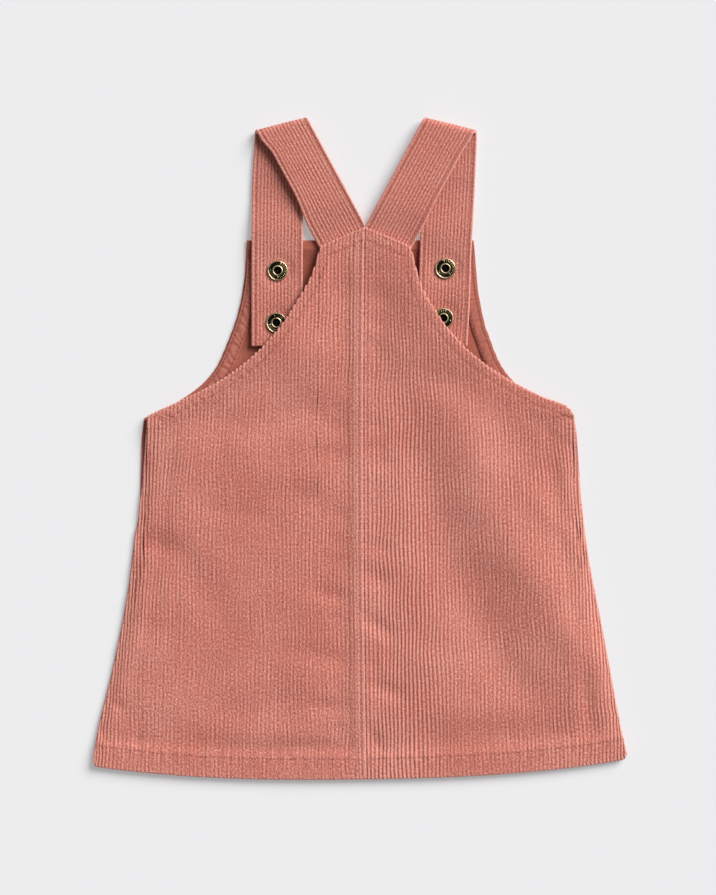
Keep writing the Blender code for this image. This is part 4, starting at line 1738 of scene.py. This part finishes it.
@dataclass
class StrapForm:
    """A band that bends over at the shoulder, worked out from the flat band.

    Along the flat band, place is the distance from the fold, below 0 on the back leg; share runs from -1 on
    its left edge to 1 on its right; lift is the distance from the middle of its thickness.
    """

    side: Side
    root_x: float
    root_y: float
    fold_x: float
    fold_y: float
    tuck: float
    bend_radius: float = 2.5
    lean: float = 28.4
    fold_tilt: float = 14.0
    floor: float = 0.2
    rises: tuple[float, float] = (362.0, 334.5)
    root_drops: tuple[float, float] = (50.0, 74.0)

    def __post_init__(self) -> None:
        """Works out the fold's line and the band's directions."""
        way = self.side.value
        tilt, lean = math.radians(self.fold_tilt), math.radians(self.lean)
        self.fold_way = np.array([math.cos(tilt), -way * math.sin(tilt)])
        self.over = np.array([way * math.sin(tilt), math.cos(tilt)])
        self.way = np.array([way * math.sin(lean), math.cos(lean)])
        self.across_way = np.array([math.cos(lean), -way * math.sin(lean)])
        self.fold = np.array([self.fold_x, self.fold_y]) - self.over * (self.bend_radius + STRAP / 2)
        self.skew = -float(self.across_way @ self.over) / float(self.way @ self.over)
        self.arc = math.pi * self.bend_radius
        self.bend_height = self.floor + STRAP / 2 + self.bend_radius
        self.root_place = -math.hypot(self.fold_x - self.root_x, self.fold_y - self.root_y)

    def points(self, place: Array, share: Array, lift: Array) -> Array:
        """Points of the bent band.

        Args:
            place: Distances along the flat band.
            share: Places across it.
            lift: Distances from the middle of its thickness.

        Returns:
            Points of the plan with their heights, in a last axis of three.
        """
        way = self.side.value
        tucked = self.tuck * ramp(place, -62.0, -38.0) * (1.0 - ramp(place, -14.0, -2.0))
        half = STRAP_WIDTH / 2 - np.where(share * way > 0, tucked, 0.0)
        across = half * share
        slanted = place + self.skew * across * (1.0 - ramp(np.abs(place), 12.0, 60.0))
        flat = slanted[..., None] * self.way + across[..., None] * self.across_way
        beyond, along = flat @ self.over, flat @ self.fold_way
        turn = np.clip(beyond / self.bend_radius, 0.0, math.pi)
        past = np.maximum(beyond - self.arc, 0.0)
        out = np.minimum(beyond, 0.0) + self.bend_radius * np.sin(turn) - past
        plan = self.fold + along[..., None] * self.fold_way + out[..., None] * self.over
        height = self.bend_height + self.bend_radius * np.cos(turn)
        root = STRAP_BASE - 0.25 + STRAP / 2
        drop = np.where(beyond < 0.0, ramp(-beyond, *self.root_drops), 0.0)
        height = height + (root - height) * drop
        drift = curve(LEG_DRIFTS, self.side.column, past) * ramp(turn, 0.0, math.pi)
        rise = np.where(beyond >= 0.0, ramp(plan[..., 1], *self.rises), 0.0)
        height = height + (STRAP_BASE + STRAP / 2 - height) * rise
        limit = float(seam_x(BACK_LENGTH)) + way * 0.4
        x = np.maximum(plan[..., 0], limit) if way > 0 else np.minimum(plan[..., 0], limit)
        x = np.where(beyond < 0.0, x, plan[..., 0] + drift)
        shift = lift * np.sin(turn)
        return np.stack(
            [x + shift * self.over[0], plan[..., 1] + shift * self.over[1], height + lift * np.cos(turn)], -1
        )


@dataclass
class Strap:
    """One strap: a folded band with ribs along it, topstitched near both edges, and its snap posts' dents."""

    form: StrapForm
    plan: Plan
    finishes: Wardrobe
    ends: float = 267.2
    root: float = 8.0
    wales: int = 12
    stitch_inset: float = 2.1
    relief: float = 0.24
    uneven: SoftNoise = field(default_factory=lambda: SoftNoise(51, 5.0, 5.0))
    sag: SoftNoise = field(default_factory=lambda: SoftNoise(52, 24.0))

    def ring(self) -> tuple[Array, Array]:
        """Places round the band's cross-section.

        Returns:
            The share across, and 1 or -1 for the upper or lower face of the back leg, at each place.
        """
        edge = (self.stitch_inset + 0.9) * 2.0 / STRAP_WIDTH
        ribs = rib_columns(0.0, float(self.wales), RIB_SAMPLES) / self.wales
        middle = (2.0 * ribs - 1.0) * (1.0 - edge)
        near = np.array([1.0, 0.992, 0.975, 0.95, 0.92, 0.895, 0.88, 0.865, 0.845])
        near = near[near > 1.0 - edge + 0.004]
        shares = np.concatenate([-near, middle, near[::-1]])
        return (
            np.concatenate([shares, shares[::-1][1:-1]]),
            np.concatenate([np.ones(len(shares)), -np.ones(len(shares) - 2)]),
        )

    def places(self) -> Array:
        """Distances along the band at which it is sampled.

        Returns:
            The distances, from the root to the end of the front leg.
        """
        form = self.form
        bend = np.linspace(0.0, form.arc, 17) / float(form.way @ form.over)
        length = form.fold[1] - self.ends
        back = np.linspace(form.root_place - self.root, -1.0, 56)
        front = np.linspace(bend[-1] + 0.8, bend[-1] + length - 0.9, 74)
        return np.concatenate([back, bend, front, [front[-1] + 0.6, front[-1] + 0.9]])

    def face(self, place: Array, share: Array, face: Array) -> tuple[Array, Array, Array, Array]:
        """The band's thickness and shading at each place.

        Args:
            place: Distances along the flat band.
            share: Places across.
            face: 1 or -1 for the upper or lower face of the back leg.

        Returns:
            The lift, the place in wales, the share of rubbed wear and painted sheen on edges, and the painted
            shade of the stitch grooves and of the front leg.
        """
        inset = (1.0 - np.abs(share)) * STRAP_WIDTH / 2
        edge = (self.stitch_inset + 0.9) * 2.0 / STRAP_WIDTH
        wale = (share / (1.0 - edge) + 1.0) / 2.0 * self.wales
        inside = ramp(inset, self.stitch_inset + 0.4, self.stitch_inset + 1.6)
        depth = self.relief * (0.9 + 0.55 * self.uneven.at(place * 0.35 + 40.0 * face, wale * WALE))
        depth = np.clip(depth, 0.06, 0.5)
        ribs = depth * (rib_height(np.clip(wale, 0.0, self.wales - 0.001)) - 1.0) * inside
        turn = np.clip(1.0 - (1.0 - inset / 0.8) ** 2, 0.0, 1.0)
        crown = STRAP / 2 * (1.0 - 0.62 * (1.0 - np.sqrt(turn)) * (inset < 0.8))
        groove = bell(inset - self.stitch_inset, 0.55)
        soft = 0.1 * self.sag.at(place, share * 16.0) * ramp(inset, 0.0, 5.0)
        rim = 0.12 * bell(inset - 1.0, 0.6)
        lift = face * (np.maximum(crown + ribs + rim - 0.42 * groove + soft - 0.08, 0.25))
        # Edges lighter: rubbed wear and a painted sheen.
        rubbed = bell(inset, 1.25)
        # The front leg gets painted shade, for the shade under the folded back leg and the duller sheen of
        # its reversed nap.
        front_leg_shade = 0.15 * ramp(place, 3.0, 12.0) * (1.0 - 0.7 * ramp(place, 60.0, 100.0))
        return lift, wale, rubbed, np.maximum(0.45 * groove, front_leg_shade)

    def pressed(self, points: Array, place: Array, lift: Array) -> Array:
        """How far the snap posts press the band in.

        Args:
            points: The band's middle surface, in plan.
            place: Distances along the flat band.
            lift: Distances from the middle of the thickness.

        Returns:
            The lift, with the dents taken off the face that the posts are on.
        """
        here = [(x, y) for which, _, x, y in SNAPS if which == self.form.side.word]
        away = np.min([np.hypot(points[..., 0] - x, points[..., 1] - y) for x, y in here], axis=0)
        dent = SNAP_SUNK * (1.0 - ramp(away, SNAP_RADIUS + 0.9, SNAP_RADIUS + 6.0)) * ramp(place, 8.0, 20.0)
        return np.where(lift < 0.0, np.minimum(lift + dent, -0.2), lift)

    def build(self) -> bpy.types.Object:
        """Makes the band and its stitches, in place of the plain solid.

        Returns:
            The band.
        """
        form, word = self.form, self.form.side.word
        shares, faces_up = self.ring()
        places = self.places()
        place, share = np.meshgrid(places, shares, indexing="ij")
        face = np.broadcast_to(faces_up, place.shape)
        lift, wale, rubbed, dark = self.face(place, share, face)
        middle = form.points(place, share, np.zeros(place.shape))
        lift = self.pressed(middle, place, lift)
        lift[-1] *= 0.45
        lift[0] *= 0.6
        points = form.points(place, share, lift)
        rows, columns = place.shape
        index = np.arange(rows * columns).reshape(rows, columns)
        wrapped = np.concatenate([index, index[:, :1]], axis=1)
        faces = quads(wrapped)
        half = (columns + 2) // 2
        for row, flip in ((0, True), (rows - 1, False)):
            upper = index[row, :half]
            between = index[row, : half - 2 : -1][: half - 2]
            lower = np.concatenate([[index[row, 0]], between, [index[row, half - 1]]])
            for i in range(half - 1):
                ring = [int(upper[i]), int(upper[i + 1]), int(lower[i + 1]), int(lower[i])]
                ring = list(dict.fromkeys(ring))
                faces.append(ring[::-1] if not flip else ring)
        draft = MeshDraft(
            points.reshape(-1, 3),
            faces,
            np.column_stack([wale.ravel(), place.ravel() / WALE]),
            rubbed.ravel(),
            dark.ravel(),
        )
        draft.faces = outward(draft.points, draft.faces)
        band = draft.make(f"band_{word}", self.plan, self.finishes.corduroy, "corduroy")
        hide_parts(f"strap_{word}")
        stitches = self.stitches(places)
        return band

    def stitches(self, places: Array) -> bpy.types.Object:
        """The topstitching near both edges, on both faces.

        Args:
            places: Distances along the band at which it is sampled.

        Returns:
            The object.
        """
        share = 1.0 - self.stitch_inset * 2.0 / STRAP_WIDTH
        points, faces = [], []
        start = 0
        stitching = Stitching()
        for face in (1.0, -1.0):
            for edge in (-share, share):
                dense = np.linspace(places[0] + 8.0, places[-1] - 1.5, 400)
                at = np.full(dense.shape, edge)
                lift = self.face(dense, at, np.full(dense.shape, face))[0]
                middle = self.form.points(dense, at, np.zeros(dense.shape))
                line = self.form.points(dense, at, self.pressed(middle, dense, lift))
                some, theirs = bead_chain(line, stitching)
                points.append(some)
                faces += [[i + start for i in one] for one in theirs]
                start += len(some)
        joined = np.concatenate(points)
        zeros = np.zeros(len(joined))
        draft = MeshDraft(joined, faces, joined[:, :2], zeros, zeros)
        name = f"stitches_band_{self.form.side.word}"
        return draft.make(name, self.plan, self.finishes.thread, "thread")


def outward(points: Array, faces: list[list[int]]) -> list[list[int]]:
    """Faces of a closed mesh, turned over if they look inwards.

    Args:
        points: The mesh's points.
        faces: Its faces.

    Returns:
        The same faces, or all of them turned over.
    """
    volume = 0.0
    for face in faces:
        a = points[face[0]]
        for i in range(1, len(face) - 1):
            volume += float(np.dot(a, np.cross(points[face[i]], points[face[i + 1]])))
    return faces if volume > 0 else [face[::-1] for face in faces]


def bead_chain(line: Array, stitching: Stitching) -> tuple[Array, list[list[int]]]:
    """Stitches along a line in space.

    Args:
        line: The line's points, with their heights.
        stitching: Sizes of the stitches.

    Returns:
        The points and the faces.
    """
    count = int(line_length(line) / stitching.pitch)
    even = even_points(line, 2 * count + 1)
    shares = np.array([-1.0, -0.8, -0.3, 0.3, 0.8, 1.0])
    girths = np.sqrt(1.0 - shares * shares * 0.97)
    points, faces = [], []
    for k in range(count):
        before, centre, after = even[2 * k], even[2 * k + 1], even[2 * k + 2]
        along = Vector((after - before).tolist()).normalized()
        out = along.cross(Vector((0.0, 0.0, 1.0)))
        out = out.normalized() if out.length > 0.05 else Vector((1.0, 0.0, 0.0))
        up = out.cross(along)
        first = len(points)
        for share, girth in zip(shares, girths):
            spot = Vector(centre.tolist()) + along * (share * stitching.length / 2)
            for i in range(stitching.sides):
                turn = 2.0 * math.pi * i / stitching.sides
                reach = stitching.radius * girth
                points.append(tuple(spot + out * (reach * math.cos(turn)) + up * (reach * math.sin(turn))))
        for ring in range(len(shares) - 1):
            for i in range(stitching.sides):
                a = first + ring * stitching.sides + i
                b = first + ring * stitching.sides + (i + 1) % stitching.sides
                faces.append([a, b, b + stitching.sides, a + stitching.sides])
        last = first + (len(shares) - 1) * stitching.sides
        faces.append([first + i for i in reversed(range(stitching.sides))])
        faces.append([last + i for i in range(stitching.sides)])
    made = np.array(points)
    return made, outward_each(made, faces, len(shares) * stitching.sides)


def outward_each(points: Array, faces: list[list[int]], size: int) -> list[list[int]]:
    """Faces of many alike closed pieces, turned over if the first looks inwards."""
    first = [face for face in faces if max(face) < size]
    return faces if outward(points, first) is first else [face[::-1] for face in faces]


@dataclass
class SnapPost:
    """A ring-shaped snap post: rolled rim, sunk ring with fine ridges, raised lip and a dark socket."""

    which: str
    row: str
    x: float
    y: float
    plan: Plan
    finishes: Wardrobe
    turn: float = 0.0
    segments: int = 72
    ticks: int = 9

    def profile(self) -> tuple[tuple[float, float, float, float], ...]:
        """The turned section, from the middle of the foot round to the middle of the socket.

        Returns:
            Rows of radius, height, rubbed share and darkness.
        """
        z = SNAP_BASE
        return (
            (0.0, z, 0.0, 1.0),
            (SNAP_RADIUS - 0.6, z, 0.0, 1.0),
            (SNAP_RADIUS - 0.1, z + 0.12, 0.2, 0.4),
            (SNAP_RADIUS, z + 0.42, 0.7, 0.0),
            (SNAP_RADIUS - 0.08, z + 0.72, 1.0, 0.0),
            (SNAP_RADIUS - 0.32, z + 0.93, 1.0, 0.0),
            (SNAP_RADIUS - 0.58, z + 0.90, 0.9, 0.0),
            (SNAP_RADIUS - 0.78, z + 0.66, 0.1, 0.9),
            (SNAP_RADIUS - 1.25, z + 0.62, 0.0, 1.0),
            (SNAP_RADIUS - 1.38, z + 0.76, 0.15, 0.75),
            (SNAP_RADIUS - 1.52, z + 0.62, 0.0, 1.0),
            (SNAP_RADIUS - 2.02, z + 0.62, 0.0, 1.0),
            (SNAP_RADIUS - 2.16, z + 0.76, 0.15, 0.75),
            (SNAP_RADIUS - 2.30, z + 0.62, 0.0, 1.0),
            (3.34, z + 0.64, 0.1, 0.9),
            (3.22, z + 1.02, 0.8, 0.0),
            (3.02, z + 1.30, 1.0, 0.0),
            (2.76, z + 1.38, 1.0, 0.0),
            (2.52, z + 1.28, 1.0, 0.0),
            # The socket's wall and floor are painted black, a painted shade that stands for a deep hole.
            (2.36, z + 1.02, 0.4, 0.5),
            (2.28, z + 0.5, 0.0, 1.0),
            (2.0, z + 0.22, 0.0, 1.0),
            (0.9, z + 0.22, 0.0, 1.0),
            (0.5, z + 0.26, 0.0, 1.0),
            (0.0, z + 0.28, 0.1, 0.9),
        )

    def turned_points(
        self,
    ) -> tuple[list[tuple[float, float, float]], list[list[int]], list[float], list[float]]:
        """The turned body.

        Returns:
            Points, faces, rubbed shares and darknesses.
        """
        points, faces, edge, dark = [], [], [], []
        rings = []
        for radius, height, rubbed, darkness in self.profile():
            count = 1 if radius == 0.0 else self.segments
            rings.append([len(points) + i for i in range(count)])
            for i in range(count):
                angle = 2.0 * math.pi * i / self.segments
                points.append((self.x + radius * math.cos(angle), self.y + radius * math.sin(angle), height))
                edge.append(rubbed)
                dark.append(darkness)
        for lower, upper in zip(rings, rings[1:]):
            for i in range(self.segments):
                a, b = lower[i % len(lower)], lower[(i + 1) % len(lower)]
                c, d = upper[(i + 1) % len(upper)], upper[i % len(upper)]
                faces.append(list(dict.fromkeys([a, b, c, d])))
        return points, faces, edge, dark

    def bar(
        self, angle: float, start: float, end: float, half: float, rise: float
    ) -> tuple[Array, list[list[int]]]:
        """A small raised bar that runs outwards in the sunk ring.

        Args:
            angle: Its direction in degrees.
            start: Its inner radius.
            end: Its outer radius.
            half: Half of its width.
            rise: Its height.

        Returns:
            Points and faces.
        """
        way = np.array([math.cos(math.radians(angle)), math.sin(math.radians(angle))])
        side = np.array([-way[1], way[0]])
        base = SNAP_BASE + 0.55
        points = []
        for height, inset in ((base, 0.0), (base + rise * 0.7, 0.0), (base + rise, 0.06)):
            for reach, out in ((start + inset, -1), (end - inset, -1), (end - inset, 1), (start + inset, 1)):
                spot = way * reach + side * out * (half - inset)
                points.append((self.x + spot[0], self.y + spot[1], height))
        faces = [[3, 2, 1, 0], [8, 9, 10, 11]]
        for level in (0, 4):
            for i in range(4):
                j = (i + 1) % 4
                faces.append([level + i, level + j, level + j + 4, level + i + 4])
        return np.array(points), faces

    def build(self) -> bpy.types.Object:
        """Makes the post, in place of the plain solid.

        Returns:
            The post.
        """
        points, faces, edge, dark = self.turned_points()
        # Each bar's direction, inner and outer radius, half-width and rise.
        bars = [(self.turn + 66.0, 3.3, 5.6, 0.22, 0.26), (self.turn - 88.0, 3.3, 5.6, 0.22, 0.26)]
        for i in range(self.ticks):
            angle = self.turn + 48.0 - 118.0 * i / (self.ticks - 1)
            bars.append((angle, 4.0, 5.15, 0.15, 0.2))
        bars.append((self.turn + 180.0, 4.3, 4.9, 0.3, 0.22))
        for row in bars:
            some, theirs = self.bar(*row)
            start = len(points)
            points += [tuple(p) for p in some]
            faces += [[i + start for i in face] for face in theirs]
            edge += [0.0] * 4 + [0.75] * 8
            dark += [1.0] * 4 + [0.1] * 8
        made = np.array(points)
        draft = MeshDraft(made, faces, made[:, :2], np.array(edge), np.array(dark))
        post = draft.make(f"post_{self.which}_{self.row}", self.plan, self.finishes.brass, "antique_brass")
        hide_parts(f"snap_post_{self.which}_{self.row}")
        return post


@dataclass
class Studio:
    """The pale floor, the soft light and the camera straight above."""

    finishes: Wardrobe
    floor_size: float = 8.0
    camera_height: float = 2.4
    view_height: float = 0.55132
    aim: tuple[float, float, float] = (-0.0014, 0.0007, 0.004)
    sky: tuple[float, float, float] = (0.96, 0.98, 1.0)
    sky_strength: float = 0.21
    sun_strength: float = 4.3
    sun_turn: float = 47.0
    sun_height: float = 36.0
    sun_spread: float = 38.0

    def build_floor(self) -> None:
        """The board that the dress lies on."""
        half = self.floor_size / 2
        mesh = bpy.data.meshes.new("floor")
        corners = [(-half, -half, 0.0), (half, -half, 0.0), (half, half, 0.0), (-half, half, 0.0)]
        mesh.from_pydata(corners, [], [[0, 1, 2, 3]])
        mesh.materials.append(self.finishes.floor)
        floor = bpy.data.objects.new("floor", mesh)
        bpy.context.scene.collection.objects.link(floor)
        floor.location.z = CAD_BOX[0][2] - 0.0001

    def build_light(self) -> None:
        """One wide soft light from the upper right."""
        light = bpy.data.lights.new("key", "SUN")
        light.energy = self.sun_strength
        light.angle = math.radians(self.sun_spread)
        light.color = (1.0, 0.995, 0.985)
        lamp = bpy.data.objects.new("key", light)
        bpy.context.scene.collection.objects.link(lamp)
        turn, height = math.radians(self.sun_turn), math.radians(self.sun_height)
        way = Vector((math.sin(turn) * math.cos(height), math.cos(turn) * math.cos(height), math.sin(height)))
        lamp.location = way * 2.0
        lamp.rotation_euler = (-way).to_track_quat("-Z", "Y").to_euler()

    def build_world(self) -> None:
        """Even light from all round."""
        world = bpy.data.worlds.new("studio")
        bpy.context.scene.world = world
        world.use_nodes = True
        background = world.node_tree.nodes["Background"]
        background.inputs["Color"].default_value = (*self.sky, 1.0)
        background.inputs["Strength"].default_value = self.sky_strength

    def build_camera(self) -> None:
        """A long lens that looks straight down."""
        lens = bpy.data.cameras.new("camera")
        lens.sensor_width = 36.0
        lens.lens = lens.sensor_width * self.camera_height / self.view_height
        camera = bpy.data.objects.new("camera", lens)
        bpy.context.scene.collection.objects.link(camera)
        camera.location = (self.aim[0], self.aim[1], self.aim[2] + self.camera_height)
        bpy.context.scene.camera = camera

    def build(self) -> None:
        """Builds the whole studio."""
        self.build_floor()
        self.build_light()
        self.build_world()
        self.build_camera()
        bpy.context.scene.view_settings.view_transform = "Standard"
        LOG.info("studio built")


def main() -> None:
    """Builds the dress and the studio."""
    logging.basicConfig(level=logging.INFO, format="%(message)s")
    plan = Plan()
    finishes = Wardrobe()
    Studio(finishes).build()
    Front(plan, finishes).build()
    for side in Side:
        Facing(side, plan, finishes).build()
    forms = (
        StrapForm(Side.LEFT, root_x=-11.1, root_y=334.2, fold_x=-48.5, fold_y=404.3, tuck=2.2),
        StrapForm(Side.RIGHT, root_x=15.9, root_y=334.2, fold_x=53.5, fold_y=404.3, tuck=0.7),
    )
    for form in forms:
        Strap(form, plan, finishes).build()
    for (which, row, x, y), turn in zip(SNAPS, (0.0, -75.0, 35.0, 160.0)):
        SnapPost(which, row, x, y, plan, finishes, turn).build()
    cloth = BackCloth()
    for side in Side:
        HalfBack(side, cloth, plan, finishes).build()


if __name__ == "__main__":
    main()
